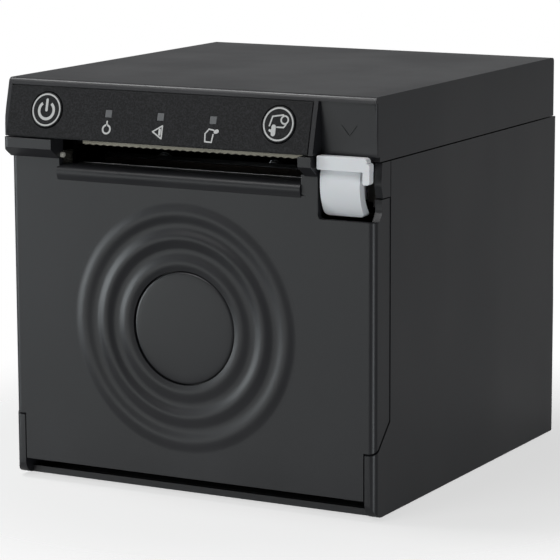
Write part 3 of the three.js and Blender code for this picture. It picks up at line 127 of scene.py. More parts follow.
def add_world():
    """A white backdrop for the camera, and a much dimmer room for everything else."""
    world = bpy.data.worlds.new("studio")
    bpy.context.scene.world = world
    world.use_nodes = True
    tree = world.node_tree
    dim = tree.nodes["Background"]
    dim.inputs["Color"].default_value = WORLD_TINT
    dim.inputs["Strength"].default_value = WORLD_GLOW
    bright = tree.nodes.new("ShaderNodeBackground")
    bright.inputs["Color"].default_value = (1, 1, 1, 1)
    bright.inputs["Strength"].default_value = BACKDROP
    path = tree.nodes.new("ShaderNodeLightPath")
    choice = tree.nodes.new("ShaderNodeMixShader")
    tree.links.new(path.outputs["Is Camera Ray"], choice.inputs["Fac"])
    tree.links.new(dim.outputs[0], choice.inputs[1])
    tree.links.new(bright.outputs[0], choice.inputs[2])
    tree.links.new(choice.outputs[0], tree.nodes["World Output"].inputs["Surface"])


def add_floor():
    """A pale table top that fades into the white backdrop a little way out."""
    settings = {"vertices": 96, "radius": FLOOR_RADIUS, "fill_type": "NGON"}
    floor = primitive("floor", bpy.ops.mesh.primitive_circle_add, **settings)
    pale = Finish("pale_floor")
    pale.colour(pale.mix((0.88, 0.88, 0.88), (0.92, 0.92, 0.92), pale.noise(4)))
    pale.rough(0.7)
    length = pale.node("ShaderNodeVectorMath", {"operation": "LENGTH"}, {0: pale.place})
    shows = pale.step(Term(pale, length.outputs["Value"]), *FLOOR_FADES, FLOOR_SHOWS, 0.0)
    pale.feed(pale.shader.inputs["Alpha"], shows)
    floor.data.materials.append(pale.material)


# ---------------------------------------------------------------- finishes
NOISE_RANGE = (0.3, 0.7)  # a noise hardly ever leaves this
DUST_SHARE = 0.22
CABLE_PITCH = MM  # from conductor to conductor of the flat cable


class Term:
    """A number that varies over a surface. Sums and products of terms add Math nodes."""

    def __init__(self, finish, socket):
        self.finish = finish
        self.socket = socket

    def join(self, operation, first, second):
        """The term that one Math node makes of two terms or numbers."""
        node = self.finish.node("ShaderNodeMath", {"operation": operation}, {0: first, 1: second})
        return Term(self.finish, node.outputs[0])

    def __add__(self, other):
        return self.join("ADD", self, other)

    def __radd__(self, other):
        return self.join("ADD", other, self)

    def __sub__(self, other):
        return self.join("SUBTRACT", self, other)

    def __rsub__(self, other):
        return self.join("SUBTRACT", other, self)

    def __mul__(self, other):
        return self.join("MULTIPLY", self, other)

    def __rmul__(self, other):
        return self.join("MULTIPLY", other, self)


class Finish:
    """A material with one Principled shader, and the textures that feed it. Their scales are per metre."""

    def __init__(self, name, **constants):
        self.material = bpy.data.materials.new(name)
        self.material.use_nodes = True
        self.tree = self.material.node_tree
        self.shader = self.tree.nodes["Principled BSDF"]
        for socket, value in constants.items():
            self.shader.inputs[socket.replace("_", " ")].default_value = value
        self.place = self.node("ShaderNodeTexCoord").outputs["Object"]

    def node(self, kind, settings=None, values=None):
        """Adds a node, with its settings first and then a value, a term or a link for each socket."""
        made = self.tree.nodes.new(kind)
        for name, value in (settings or {}).items():
            setattr(made, name, value)
        for socket, value in (values or {}).items():
            self.feed(made.inputs[socket], value)
        return made

    def feed(self, socket, value):
        """Links a term or a socket to this socket, or sets a number, a vector or a colour on it."""
        if isinstance(value, Term):
            value = value.socket
        if isinstance(value, bpy.types.NodeSocket):
            self.tree.links.new(value, socket)
        elif isinstance(value, tuple) and len(value) == 3 and socket.type == "RGBA":
            socket.default_value = (*value, 1)
        else:
            socket.default_value = value

    def stretched(self, x, y, z):
        """The place on the piece, scaled along each axis. A small scale draws a pattern out."""
        return self.node("ShaderNodeMapping", None, {"Vector": self.place, "Scale": (x, y, z)}).outputs[0]

    def noise(self, scale, detail=2.0, roughness=0.5, place=None):
        """A cloudy noise, around a half."""
        made = self.node("ShaderNodeTexNoise", None, {
            "Vector": place or self.place, "Scale": scale, "Detail": detail, "Roughness": roughness})
        return Term(self, made.outputs["Fac"])

    def cells(self, scale, output="Distance", place=None, feature="F1"):
        """A pattern of irregular cells: by default, how far the middle of the nearest one is."""
        made = self.node("ShaderNodeTexVoronoi", {"feature": feature}, {
            "Vector": place or self.place, "Scale": scale})
        return Term(self, made.outputs[output])

    def step(self, term, low, high, out_low=0.0, out_high=1.0):
        """Goes smoothly from out_low to out_high while the term goes from low to high."""
        made = self.node("ShaderNodeMapRange", {"interpolation_type": "SMOOTHSTEP"}, {
            "Value": term, "From Min": low, "From Max": high, "To Min": out_low, "To Max": out_high})
        return Term(self, made.outputs["Result"])

    def spread(self, noise, low, high):
        """A noise whose usual range is stretched to run from low to high."""
        return self.step(noise, *NOISE_RANGE, low, high)

    def part(self, axis, vector=None):
        """How far the place on the piece, or another vector, goes along one axis."""
        made = self.node("ShaderNodeSeparateXYZ", None, {0: vector or self.place})
        return Term(self, made.outputs["XYZ".index(axis)])

    def facing(self, axis):
        """How squarely the surface faces along one axis: 1 on a face that looks that way."""
        return self.part(axis, self.node("ShaderNodeNewGeometry").outputs["Normal"])

    def mix(self, first, second, share):
        """The first colour where the share is 0, and the second where it is 1."""
        return self.node("ShaderNodeMix", {"data_type": "RGBA"}, {0: share, 6: first, 7: second}).outputs[2]

    def colour(self, value):
        """Gives the shader its base colour."""
        self.feed(self.shader.inputs["Base Color"], value)

    def rough(self, value):
        """Gives the shader its roughness."""
        self.feed(self.shader.inputs["Roughness"], value)

    def bump(self, height, depth_mm):
        """Raises the surface by this depth, in millimetres, where the height is 1."""
        made = self.node("ShaderNodeBump", None, {
            "Height": height, "Distance": depth_mm * MM, "Strength": 1.0})
        self.feed(self.shader.inputs["Normal"], made.outputs["Normal"])


def moulded_plastic(name, dark, light, gloss, grain_mm=0.35, depth_mm=0.012):
    """Black moulded plastic: a fine spark-eroded grain, faint flow marks and a little dust on level faces."""
    finish = Finish(name, Specular_IOR_Level=0.5)
    grain = finish.noise(1 / (grain_mm * MM), 3, 0.55)
    flow = finish.noise(26, 3, 0.5, finish.stretched(1, 1, 0.45))
    specks = finish.step(finish.noise(1450, 1, 0.4), 0.73, 0.80)
    level = finish.step(finish.facing("Z"), 0.55, 0.95)
    tone = finish.mix(dark, light, finish.step(flow + grain * 0.35, 0.45, 0.95))
    dusty = tuple(c * 0.6 + 0.045 for c in light)
    finish.colour(finish.mix(tone, dusty, specks * level * DUST_SHARE))
    finish.rough(finish.spread(flow, gloss, gloss + 0.07) + grain * 0.06)
    finish.bump(grain, depth_mm)
    return finish.material


def panel_film(name):
    """Black textured film: a fine leathery pebble, with a faint painted glint on the pebble tops."""
    finish = Finish(name, Specular_IOR_Level=0.22)
    pebble = finish.cells(1500)
    fine = finish.noise(2600, 2, 0.6)
    # painted glint: the pebble tops are painted lighter, as if they caught the light
    tops = finish.step(fine + pebble * 0.4, 0.55, 0.95)
    finish.colour(finish.mix((0.0045, 0.0045, 0.005), (0.020, 0.020, 0.022), tops))
    finish.rough(finish.spread(fine, 0.42, 0.58))
    finish.bump(pebble + fine * 0.6, 0.03)
    return finish.material


def printed_ink(name, tone):
    """Screen-printed ink, a little uneven in tone."""
    finish = Finish(name)
    fine = finish.noise(3000, 2, 0.5)
    finish.colour(finish.mix(tone, tuple(c * 0.78 for c in tone), fine))
    finish.rough(finish.spread(fine, 0.4, 0.5))
    finish.bump(fine, 0.006)
    return finish.material


def white_plastic(name):
    """Cool white satin plastic, with the faint greying of a part that fingers press."""
    finish = Finish(name, Specular_IOR_Level=0.45, Subsurface_Weight=0.04, Subsurface_Scale=0.002)
    grain = finish.noise(2400, 3, 0.5)
    broad = finish.noise(70, 3, 0.5)
    touched = finish.step(broad, 0.52, 0.78)
    finish.colour(finish.mix((0.90, 0.915, 0.935), (0.78, 0.79, 0.80), touched * 0.35))
    finish.rough(finish.spread(broad, 0.34, 0.44) + grain * 0.05)
    finish.bump(grain, 0.008)
    return finish.material


def zinc_plate(name):
    """Zinc sheet darkened almost to black as painted shade for the dark inside of the paper slot, with faint
    crystals, rolling marks and a warm bloom.
    """
    finish = Finish(name, Metallic=1.0)
    spangle = finish.cells(420, "Color")
    rolled = finish.noise(900, 2, 0.6, finish.stretched(0.06, 1, 1))
    bloom = finish.noise(60, 3, 0.6)
    # painted shade: both tones are set near black so that the cutter parts seen through the slot look shaded
    finish.colour(finish.mix((0.060, 0.058, 0.054), (0.042, 0.040, 0.037), finish.step(bloom, 0.35, 0.7)))
    finish.rough(finish.spread(rolled, 0.30, 0.42) + spangle * 0.07)
    finish.bump(rolled, 0.006)
    return finish.material


def drawn_steel(name, dark, light, low, high, along=(0.03, 1, 1)):
    """Steel with fine marks drawn along one direction."""
    finish = Finish(name, Metallic=1.0)
    marks = finish.noise(2600, 3, 0.6, finish.stretched(*along))
    stain = finish.noise(120, 2, 0.5)
    finish.colour(finish.mix(dark, light, marks * 0.7 + stain * 0.3))
    finish.rough(finish.spread(marks, low, high))
    finish.bump(marks, 0.004)
    return finish.material


def rubber(name):
    """Matt black rubber with a fine grain and patches of grey dust."""
    finish = Finish(name, Specular_IOR_Level=0.3)
    grain = finish.noise(1500, 3, 0.6)
    dust = finish.noise(90, 3, 0.6)
    grey = finish.step(dust, 0.5, 0.8) * 0.6 + grain * 0.2
    finish.colour(finish.mix((0.010, 0.010, 0.011), (0.030, 0.029, 0.028), grey))
    finish.rough(finish.spread(grain, 0.66, 0.82))
    finish.bump(grain, 0.02)
    return finish.material


def circuit_board(name):
    """A green board with tracks, and scattered groups of tinned pads."""
    finish = Finish(name, Coat_Roughness=0.2)
    place = finish.stretched(1, 0.001, 1)
    edges = finish.cells(310, place=place, feature="DISTANCE_TO_EDGE")
    tracks = finish.step(edges, 0.035, 0.06, 1.0, 0.0)
    dots = finish.step(finish.cells(390, place=place), 0.13, 0.17, 1.0, 0.0)
    sparse = finish.step(finish.noise(140, 1, 0.5, place), 0.5, 0.54)
    pads = dots * sparse
    green = finish.mix((0.008, 0.085, 0.036), (0.020, 0.150, 0.070), tracks)
    finish.colour(finish.mix(green, (0.62, 0.60, 0.55), pads))
    finish.feed(finish.shader.inputs["Metallic"], pads)
    finish.rough(finish.spread(finish.noise(500), 0.26, 0.38))
    finish.bump(tracks + pads, 0.02)
    return finish.material


def glazed(name, tone, worn, gloss):
    """A hard, smooth, non-metal surface, mottled between two tones."""
    finish = Finish(name)
    fine = finish.noise(700, 3, 0.5)
    broad = finish.noise(55, 2, 0.5)
    finish.colour(finish.mix(tone, worn, finish.step(fine * 0.4 + broad * 0.6, 0.4, 0.7)))
    finish.rough(finish.spread(broad, gloss, gloss + 0.1))
    finish.bump(fine, 0.006)
    return finish.material


def flat_cable(name):
    """Pale cable film with its row of conductors."""
    finish = Finish(name)
    turns = finish.part("X") * (math.tau / CABLE_PITCH)
    wave = finish.node("ShaderNodeMath", {"operation": "SINE"}, {0: turns})
    row = finish.step(Term(finish, wave.outputs[0]), -0.1, 0.4)
    finish.colour(finish.mix((0.60, 0.61, 0.62), (0.34, 0.33, 0.31), row))
    finish.rough(finish.spread(finish.noise(400), 0.30, 0.42))
    finish.bump(row, 0.05)
    return finish.material


def frosted_guide(name):
    """Cloudy clear plastic that looks grey when it isn't lit."""
    finish = Finish(name, Transmission_Weight=0.25, IOR=1.49)
    fine = finish.noise(2000, 2, 0.5)
    finish.colour(finish.mix((0.20, 0.205, 0.21), (0.14, 0.145, 0.15), fine))
    finish.rough(finish.spread(fine, 0.34, 0.5))
    finish.bump(fine, 0.01)
    return finish.material


FINISHES = {
    "case_black": moulded_plastic(
        "case_black", (0.0135, 0.0135, 0.0155), (0.0215, 0.0215, 0.0240), 0.30),
    "panel_membrane": panel_film("panel_membrane"),
    "lever_white": white_plastic("lever_white"),
    "clear_guide": frosted_guide("clear_guide"),
    "inner_black": moulded_plastic(
        "inner_black", (0.010, 0.010, 0.011), (0.017, 0.017, 0.018), 0.42, grain_mm=0.5, depth_mm=0.02),
    "zinc_sheet": zinc_plate("zinc_sheet"),
    "bright_steel": drawn_steel("bright_steel", (0.36, 0.36, 0.36), (0.50, 0.50, 0.50), 0.22, 0.36),
    "spring_steel": drawn_steel(
        "spring_steel", (0.30, 0.31, 0.32), (0.45, 0.46, 0.47), 0.25, 0.38, along=(1, 0.2, 0.2)),
    "head_aluminium": drawn_steel("head_aluminium", (0.62, 0.63, 0.65), (0.76, 0.77, 0.79), 0.3, 0.44),
    "black_rubber": rubber("black_rubber"),
    "acetal": glazed("acetal", (0.74, 0.72, 0.64), (0.62, 0.60, 0.52), 0.32),
    "circuit_board": circuit_board("circuit_board"),
    "ceramic": glazed("ceramic", (0.050, 0.042, 0.036), (0.034, 0.028, 0.024), 0.20),
    "ribbon": flat_cable("ribbon"),
    "socket_shell": drawn_steel(
        "socket_shell", (0.42, 0.42, 0.43), (0.52, 0.52, 0.53), 0.26, 0.4, along=(1, 0.05, 1)),
}
# dark tan steel for the tear bar: the tan is the bar's own tint, and its darkness is partly painted shade for
# its place under the slot's top
TEAR_STEEL = drawn_steel("tear_bar_steel", (0.15, 0.14, 0.115), (0.25, 0.235, 0.20), 0.30, 0.45)
# painted shade: the moving blade and its carrier are darkened near black so that they read as shade inside
# the paper slot
SLOT_SHADE_STEEL = drawn_steel("slot_shade_steel", (0.030, 0.030, 0.034), (0.060, 0.060, 0.066), 0.32, 0.46)
INK = printed_ink("pale_ink", (0.66, 0.66, 0.65))


# ---------------------------------------------------------------- shaping
AXES = {"x": lambda u, v, w: (w, u, v), "y": lambda u, v, w: (u, w, v)}
WAYS = {"x": Vector((1, 0, 0)), "y": Vector((0, 1, 0))}
UPWARDS = Vector((0, 0, 1))
MERGED = 2e-6  # corners nearer to each other than this, in metres, become one
FLAT_ANGLE = math.radians(0.6)  # faces that meet at less than this become one
SHARP_ANGLE = math.radians(28)  # edges sharper than this are eased
EASED_SMOOTH, TURNED_SMOOTH = math.radians(38), math.radians(40)  # edges up to these shade smooth


def only(piece):
    """Leaves just this piece selected and active."""
    bpy.ops.object.select_all(action="DESELECT")
    piece.select_set(True)
    bpy.context.view_layer.objects.active = piece


def pick(piece, kind, test):
    """Goes into edit mode with only the corners, edges or faces that pass the test selected."""
    only(piece)
    bpy.ops.object.mode_set(mode="EDIT")
    bpy.ops.mesh.select_mode(type=kind)
    bpy.ops.mesh.select_all(action="DESELECT")
    mesh = bmesh.from_edit_mesh(piece.data)
    for part in {"VERT": mesh.verts, "EDGE": mesh.edges, "FACE": mesh.faces}[kind]:
        if test(part):
            part.select_set(True)
    mesh.select_flush_mode()
    bmesh.update_edit_mesh(piece.data)


def leave():
    """Goes back from edit mode to object mode."""
    bpy.ops.object.mode_set(mode="OBJECT")


def primitive(name, add, **settings):
    """Adds one of Blender's primitives with nothing else selected, and names it."""
    bpy.ops.object.select_all(action="DESELECT")
    add(**settings)
    piece = bpy.context.active_object
    piece.name = name
    return piece


def block(name, x, y, z):
    """A box between two ends along each axis."""
    low = spot(x[0], y[0], z[0])
    high = spot(x[1], y[1], z[1])
    piece = primitive(name, bpy.ops.mesh.primitive_cube_add, size=1, location=(low + high) / 2)
    piece.scale = high - low
    only(piece)
    bpy.ops.object.transform_apply(location=True, rotation=True, scale=True)
    return piece


def profile(name, axis, outline, near, far):
    """A solid of this outline, pushed out from near to far along an axis."""
    piece = primitive(name, bpy.ops.mesh.primitive_circle_add, vertices=len(outline), fill_type="NGON")
    for corner, (u, v) in zip(piece.data.vertices, outline):
        corner.co = spot(*AXES[axis](u, v, near))
    pick(piece, "FACE", lambda face: True)
    bpy.ops.mesh.extrude_region_move(TRANSFORM_OT_translate={"value": WAYS[axis] * ((far - near) * MM)})
    bpy.ops.mesh.select_all(action="SELECT")
    bpy.ops.mesh.normals_make_consistent(inside=False)
    leave()
    return piece


def turned(name, axis, centre, outline, steps):
    """An outline of (radius, distance along the axis) pairs, turned about the axis through a point."""
    piece = primitive(name, bpy.ops.mesh.primitive_circle_add, vertices=len(outline))
    middle = spot(*centre)
    for corner, (radius, along) in zip(piece.data.vertices, outline):
        corner.co = middle + UPWARDS * (radius * MM) + WAYS[axis] * (along * MM)
    pick(piece, "VERT", lambda corner: True)
    bpy.ops.mesh.spin(steps=steps, angle=math.tau, center=middle, axis=WAYS[axis], use_auto_merge=True)
    bpy.ops.mesh.select_all(action="SELECT")
    bpy.ops.mesh.remove_doubles(threshold=MERGED)
    bpy.ops.mesh.normals_make_consistent(inside=False)
    leave()
    return piece


def soften(piece, radius, chosen, steps):
    """Rounds the edges that pass a test of where their middle is and how they run."""
    def passes(edge):
        start, end = (corner.co for corner in edge.verts)
        return chosen((start + end) / 2, end - start)

    pick(piece, "EDGE", passes)
    bpy.ops.mesh.bevel(offset=radius * MM, segments=steps, affect="EDGES", clamp_overlap=True)
    leave()


def combine(piece, tool, operation):
    """Joins a tool to a piece or cuts it away, and uses the tool up."""
    only(piece)
    step = piece.modifiers.new("combine", "BOOLEAN")
    step.operation = operation
    step.solver = "EXACT"
    step.object = tool
    bpy.ops.object.modifier_apply(modifier=step.name)
    bpy.data.meshes.remove(tool.data)


def carve(piece, *tools):
    """Cuts the tools away from a piece, one after the other."""
    for tool in tools:
        combine(piece, tool, "DIFFERENCE")


def weld(piece, *others):
    """Joins the others to a piece, one after the other."""
    for other in others:
        combine(piece, other, "UNION")


def ease(piece, width, steps):
    """Breaks every sharp edge by a small radius, then shades the rounded edges smooth."""
    only(piece)
    step = piece.modifiers.new("ease", "BEVEL")
    step.width = width * MM
    step.segments = steps
    step.limit_method = "ANGLE"
    step.angle_limit = SHARP_ANGLE
    step.use_clamp_overlap = True
    bpy.ops.object.modifier_apply(modifier=step.name)
    bpy.ops.object.shade_smooth_by_angle(angle=EASED_SMOOTH)
    even = piece.modifiers.new("even", "WEIGHTED_NORMAL")
    even.keep_sharp = True
    even.weight = 100
    bpy.ops.object.modifier_apply(modifier=even.name)


def polish(piece):
    """Shades a turned piece smooth, apart from its sharp rims."""
    only(piece)
    bpy.ops.object.shade_smooth_by_angle(angle=TURNED_SMOOTH)


def settle(piece, body, slot, *nodes, material=None):
    """Gives a finished piece its material, and says what it rides on and which nodes it stands for."""
    piece.data.materials.clear()
    piece.data.materials.append(material or FINISHES[slot])
    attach(piece, body)
    if nodes:
        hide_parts(*nodes)


RECORD = frame["record"]
BODY_OF = {node: body for body, nodes in RECORD["behaviour"]["bodies"].items() for node in nodes}
SLOT_OF = {part["node"]: part["material_slot"] for part in RECORD["subparts"]}


def finished_copy(node, width, steps, cuts, material):
    """The node's own shape with its cuts made and its edges eased, which stands for the node."""
    source = frame["nodes"][node]
    piece = source.copy()
    piece.data = source.data.copy()
    piece.parent = None
    piece.matrix_world = Matrix.Identity(4)
    for key in list(piece.keys()):
        del piece[key]
    piece.name = node + "_finished"
    bpy.context.scene.collection.objects.link(piece)
    only(piece)
    bpy.ops.mesh.customdata_custom_splitnormals_clear()
    pick(piece, "VERT", lambda corner: True)
    bpy.ops.mesh.remove_doubles(threshold=MERGED)
    bpy.ops.mesh.dissolve_limited(angle_limit=FLAT_ANGLE)
    leave()
    carve(piece, *cuts)
    ease(piece, width, steps)
    settle(piece, BODY_OF[node], SLOT_OF[node], node, material=material)


# ---------------------------------------------------------------- front door
SIDE_X = 64.8  # half the door's width
INSIDE_X = 62.4  # and between its side walls
DOOR_DEPTH, DOOR_WALL = 10, 2.4
DOOR_FOOT, DOOR_TOP = 6.5, 110
LONG_ROUND = 2.2  # radius along the door's upright edges and round the lip's left end
EDGE_ROUND = 0.28
LONG_EDGE, SLANT = 0.05, 0.001  # how far, in metres, an edge runs to count as long or slanting
NOTCH_X = 45.5  # the lever's notch begins here
SLOT_X0, SLOT_X1 = -46.6, 41.2
SILL_X1 = 39.8  # the sill stops short of the slot's right end

# outlines across the door: behind its face, above the table
FOOT_CUT = [(-1, 0), (12, 0), (12, 32.1), (2.5, 22.6), (0, 21.4), (-1, 21.4)]
LIP = [(0.1, 105), (-LIP_PROUD, 108.4), (-LIP_PROUD, 111.5), (DOOR_WALL, 111.5), (DOOR_WALL, 105)]
NOTCH = [
    (-6, 92.2), (3, 92.2), (4.5, 94.2), (5, 95.6), (4.7, 98), (4.2, 102.2), (4.5, 106), (4.9, 130), (-6, 130),
]
SILL = [
    (0.3, 98.0), (-0.1, 98.5), (-0.5, 99.3), (-0.82, 100.2), (-0.9, 101.1), (-0.72, 101.9), (-0.3, 102.5),
    (0.4, 102.95), (1.4, 103.2), (5, 103.2), (5, 101.6), (2.4, 98.0),
]

HINGE_SPANS = ((-60.8, -53), (53, 60.8))
HINGE_AXIS = (4.5, 8.5)
HINGE_BORE, HINGE_RIM = 1.65, 3.4
PIN_AXIS = (1.4, 106.2)
PIN = [(0, 0), (0.9, 0), (0.9, 1.0), (0.7, 1.25), (0, 1.3)]

DISC_X, DISC_Z, DISC_R = -1.6, 54.5, 17.8
DISC_GAP, DISC_SINK = 0.45, 1.5
DISC_FACE = [
    (0, -0.30), (6, -0.27), (11, -0.19), (15, -0.08), (16.9, 0.02), (17.4, 0.10), (17.68, 0.28),
    (DISC_R, 0.5), (DISC_R, 1.2), (0, 1.2),
]
RIPPLES = ((20.5, 0.62), (28.4, 0.78), (36.2, 0.55))  # each crest's radius and height
RIPPLE_WIDTH = 7.4
RINGS_R0, RINGS_R1, RINGS_STEP = 18.15, 40.5, 0.3
RINGS_PROUD = 0.012  # the ripples' sheet in front of the door's face


def ahead(point, depth):
    """Whether a point lies in front of this depth behind the door's face."""
    return point.y < FACE_Y + depth * MM


def door_shell():
    """The hollow moulding. Its side walls slant away at the foot."""
    door = block("front_door_moulding", (-SIDE_X, SIDE_X), (0, DOOR_DEPTH), (DOOR_FOOT, DOOR_TOP))
    soften(door, LONG_ROUND, lambda middle, way: ahead(middle, 1) and abs(way.z) > LONG_EDGE, 8)
    carve(door, block("hollow", (-INSIDE_X, INSIDE_X), (DOOR_WALL, 12), (-1, 130)))
    left, right = ("left_foot_cut", -70, -61), ("right_foot_cut", 61, 70)
    carve(door, *(profile(name, "x", FOOT_CUT, near, far) for name, near, far in (left, right)))
    return door


def door_lip():
    """The lip along the top. Its left end is rounded, and its front edges are eased."""
    lip = profile("lip", "x", LIP, -SIDE_X, SIDE_X)

    def left_end(middle, way):
        return ahead(middle, -4) and abs(way.z) > SLANT and middle.x < 0

    def lower_front(middle, way):
        return ahead(middle, -4.7) and abs(way.x) > LONG_EDGE and middle.z < 0.109

    def upper_front(middle, way):
        return ahead(middle, -4.7) and abs(way.x) > LONG_EDGE and middle.z > 0.111

    soften(lip, LONG_ROUND, left_end, 8)
    soften(lip, 0.9, lower_front, 4)
    soften(lip, 0.35, upper_front, 3)
    return lip


def lever_notch():
    """What the lever needs of the door's top right corner. The notch's lower left corner is rounded."""
    notch = profile("notch_cut", "x", NOTCH, NOTCH_X, 66)

    def corner(middle, way):
        return middle.z < 0.0925 and middle.x < NOTCH_X * MM + 1e-5 and abs(way.y) > SLANT

    soften(notch, 1.2, corner, 5)
    return notch


def hinge_eyes(door):
    """The two eyes that the hinge pins turn in, each on a web behind the face."""
    for near, far in HINGE_SPANS:
        tube = [(HINGE_BORE, 0), (HINGE_RIM, 0), (HINGE_RIM, far - near), (HINGE_BORE, far - near)]
        eye = turned("hinge_eye", "x", (near, *HINGE_AXIS), tube, 40)
        weld(door, block("hinge_web", (near, far), (2.0, 3.6), (6.6, 13.5)), eye)


def front_door():
    """The door's moulding, and the pale pin at the left end of its paper slot."""
    door = door_shell()
    weld(door, door_lip())
    recess = [(0, -3), (DISC_R + DISC_GAP, -3), (DISC_R + DISC_GAP, DISC_SINK), (0, DISC_SINK)]
    carve(
        door,
        block("slot_cut", (SLOT_X0, SLOT_X1), (-6, 3.4), (99.5, 113)),
        lever_notch(),
        block("cheek_cut", (62.3, 66), (-1, 11), (98.8, 130)),
        turned("disc_recess", "y", (DISC_X, 0, DISC_Z), recess, 96),
    )
    weld(door, block("slot_shoulder", (SILL_X1, SLOT_X1 + 0.5), (0, DOOR_WALL), (99, 105.4)))
    weld(door, profile("sill", "x", SILL, SLOT_X0 - 0.6, SILL_X1))
    hinge_eyes(door)
    ease(door, EDGE_ROUND, 3)
    pin = turned("slot_pin", "x", (SLOT_X0 - 0.2, *PIN_AXIS), PIN, 32)
    polish(pin)
    settle(pin, "door", "acetal")
    settle(door, "door", "case_black", "front_door")


def ripple_height(radius):
    """How far the door's face rises at this distance from the disc's middle."""
    rise = 0.0
    for crest, height in RIPPLES:
        share = (radius - crest) / RIPPLE_WIDTH
        if abs(share) < 0.5:
            rise = max(rise, height * math.cos(math.pi * share) ** 2)
    return rise


def door_ripples():
    """The three soft rings round the disc, as one sheet with its rims sunk in the door."""
    outline = []
    radius = RINGS_R0
    while radius < RINGS_R1 - 0.1:
        outline.append((radius, -ripple_height(radius) - RINGS_PROUD))
        radius += RINGS_STEP
    outline += [(RINGS_R1, 0.2), (RINGS_R1 - 0.2, 1.0), (RINGS_R0 + 0.15, 1.0), (RINGS_R0, 0.6)]
    rings = turned("door_ripples", "y", (DISC_X, 0, DISC_Z), outline, 192)
    polish(rings)
    settle(rings, "door", "case_black")


def emblem_disc():
    """The plain, slightly domed disc in the door's recess."""
    disc = turned("emblem_disc_plain", "y", (DISC_X, 0, DISC_Z), DISC_FACE, 128)
    polish(disc)
    settle(disc, "door", "case_black", "emblem_disc")


# ---------------------------------------------------------------- control strip
BAND_FOOT = (-4.2, 111.9)  # foot of the leaning band: behind the door's face, above the table
BAND_RUN, BAND_BACK = 16.5, 4.2  # its rise, and how far it leans back over it
BAND_TILT = math.atan2(BAND_BACK, BAND_RUN)
MID_UP = math.hypot(BAND_BACK, BAND_RUN) / 2 + 0.4
POWER_X, FEED_X = -49.4, 33.5
WINDOW_X = (-26.6, -7.8, 10.8)

# outlines of a button and of the printed ring on it: radius, behind the strip's face
KEY = [
    (0, -0.42), (3.2, -0.46), (4.9, -0.52), (5.25, -0.50), (5.55, -0.36), (5.66, -0.1), (5.66, 2.9),
    (6.7, 2.9), (6.7, 3.35), (0, 3.35),
]
KEY_RING = [(4.72, -0.60), (5.12, -0.60), (5.2, -0.5), (5.1, -0.4), (4.72, -0.4), (4.66, -0.5)]

INK_FRONT, INK_BACK = 0.05, 0.06  # how far a printed sheet goes before and behind its face
KEY_FACE, STRIP_FACE = -0.47, -0.2
SYMBOL_DROP = 4.7  # the three small symbols below the buttons' height
THIN = 0.45  # stroke width of the line drawings


def lean(piece):
    """Takes a piece made on an upright band to the leaning one. Its foot lies at y 0 and z 0."""
    only(piece)
    bpy.ops.object.mode_set(mode="EDIT")
    bpy.ops.mesh.select_all(action="SELECT")
    bpy.ops.transform.translate(value=(0, BAND_FOOT[0] * MM, BAND_FOOT[1] * MM))
    leave()
    foot = spot(0, *BAND_FOOT)
    tilt = Matrix.Rotation(-BAND_TILT, 4, "X")
    piece.data.transform(Matrix.Translation(foot) @ tilt @ Matrix.Translation(-foot))


def button(name, x, body, node):
    """A round key with a printed ring near its edge."""
    key = turned(name + "_key", "y", (x, 0, MID_UP), KEY, 96)
    lean(key)
    polish(key)
    settle(key, body, "panel_membrane", node)
    ring = turned(name + "_key_ring", "y", (x, 0, MID_UP), KEY_RING, 96)
    lean(ring)
    settle(ring, body, "lever_white", material=INK)


def arc(x, up, inner, outer, start, end, steps=28):
    """The outline of a ring's part, in degrees anticlockwise from the right."""
    turns = [math.radians(start + (end - start) * k / steps) for k in range(steps + 1)]
    far = [(x + outer * math.cos(t), up + outer * math.sin(t)) for t in turns]
    return far + [(x + inner * math.cos(t), up + inner * math.sin(t)) for t in reversed(turns)]


def strokes(points, width, closed=False):
    """The outlines of straight strokes from point to point, with round ends that overlap."""
    ends = points[1:] + points[:1] if closed else points[1:]
    half = width / 2
    outlines = []
    for (x0, z0), (x1, z1) in zip(points, ends):
        run = math.hypot(x1 - x0, z1 - z0)
        turn = math.atan2((z1 - z0) / run, (x1 - x0) / run)
        outline = []
        for x, z, first in ((x1, z1, turn - math.pi / 2), (x0, z0, turn + math.pi / 2)):
            for k in range(7):
                swing = first + math.pi * k / 6
                outline.append((x + half * math.cos(swing), z + half * math.sin(swing)))
        outlines.append(outline)
    return outlines


def around(x, up, *steps):
    """Points that are given by their steps to the right and up from one place."""
    return [(x + right, up + rise) for right, rise in steps]


def printed(name, body, outlines, face):
    """Ink that lies on the leaning band, or on a button in it, as one thin sheet."""
    sheets = [profile(name, "y", outline, face - INK_FRONT, face + INK_BACK) for outline in outlines]
    first = sheets[0]
    weld(first, *sheets[1:])
    lean(first)
    first.name = name
    settle(first, body, "lever_white", material=INK)


def key_symbols():
    """The broken ring with its bar on the power key, and the hand that feeds a sheet on the other."""
    x, up = POWER_X, MID_UP
    bar = strokes(around(x, up, (0, -0.1), (0, 3.2)), 0.85)
    printed("power_symbol", "power_key", [arc(x, up - 0.2, 2.25, 3.15, 126, 414)] + bar, KEY_FACE)
    x = FEED_X
    sheet = strokes(around(x, up, (-3.0, -0.6), (-2.2, 2.3), (1.4, 2.9)), THIN)
    roll = [arc(x + 2.0, up + 1.4, 0.95, 1.45, 0, 360)]
    curl = strokes(around(x, up, (2.6, 0.1), (1.9, -0.9), (-0.4, -0.9)), THIN)
    finger = strokes(around(x, up, (-1.5, -3.0), (-1.5, -0.9)), 1.5)
    base = strokes(around(x, up, (-2.7, -2.0), (-1.5, -2.4)), 0.8)
    for k, outlines in enumerate((sheet + curl, roll, finger + base)):
        printed(f"feed_symbol_{k + 1}", "feed_key", outlines, KEY_FACE)


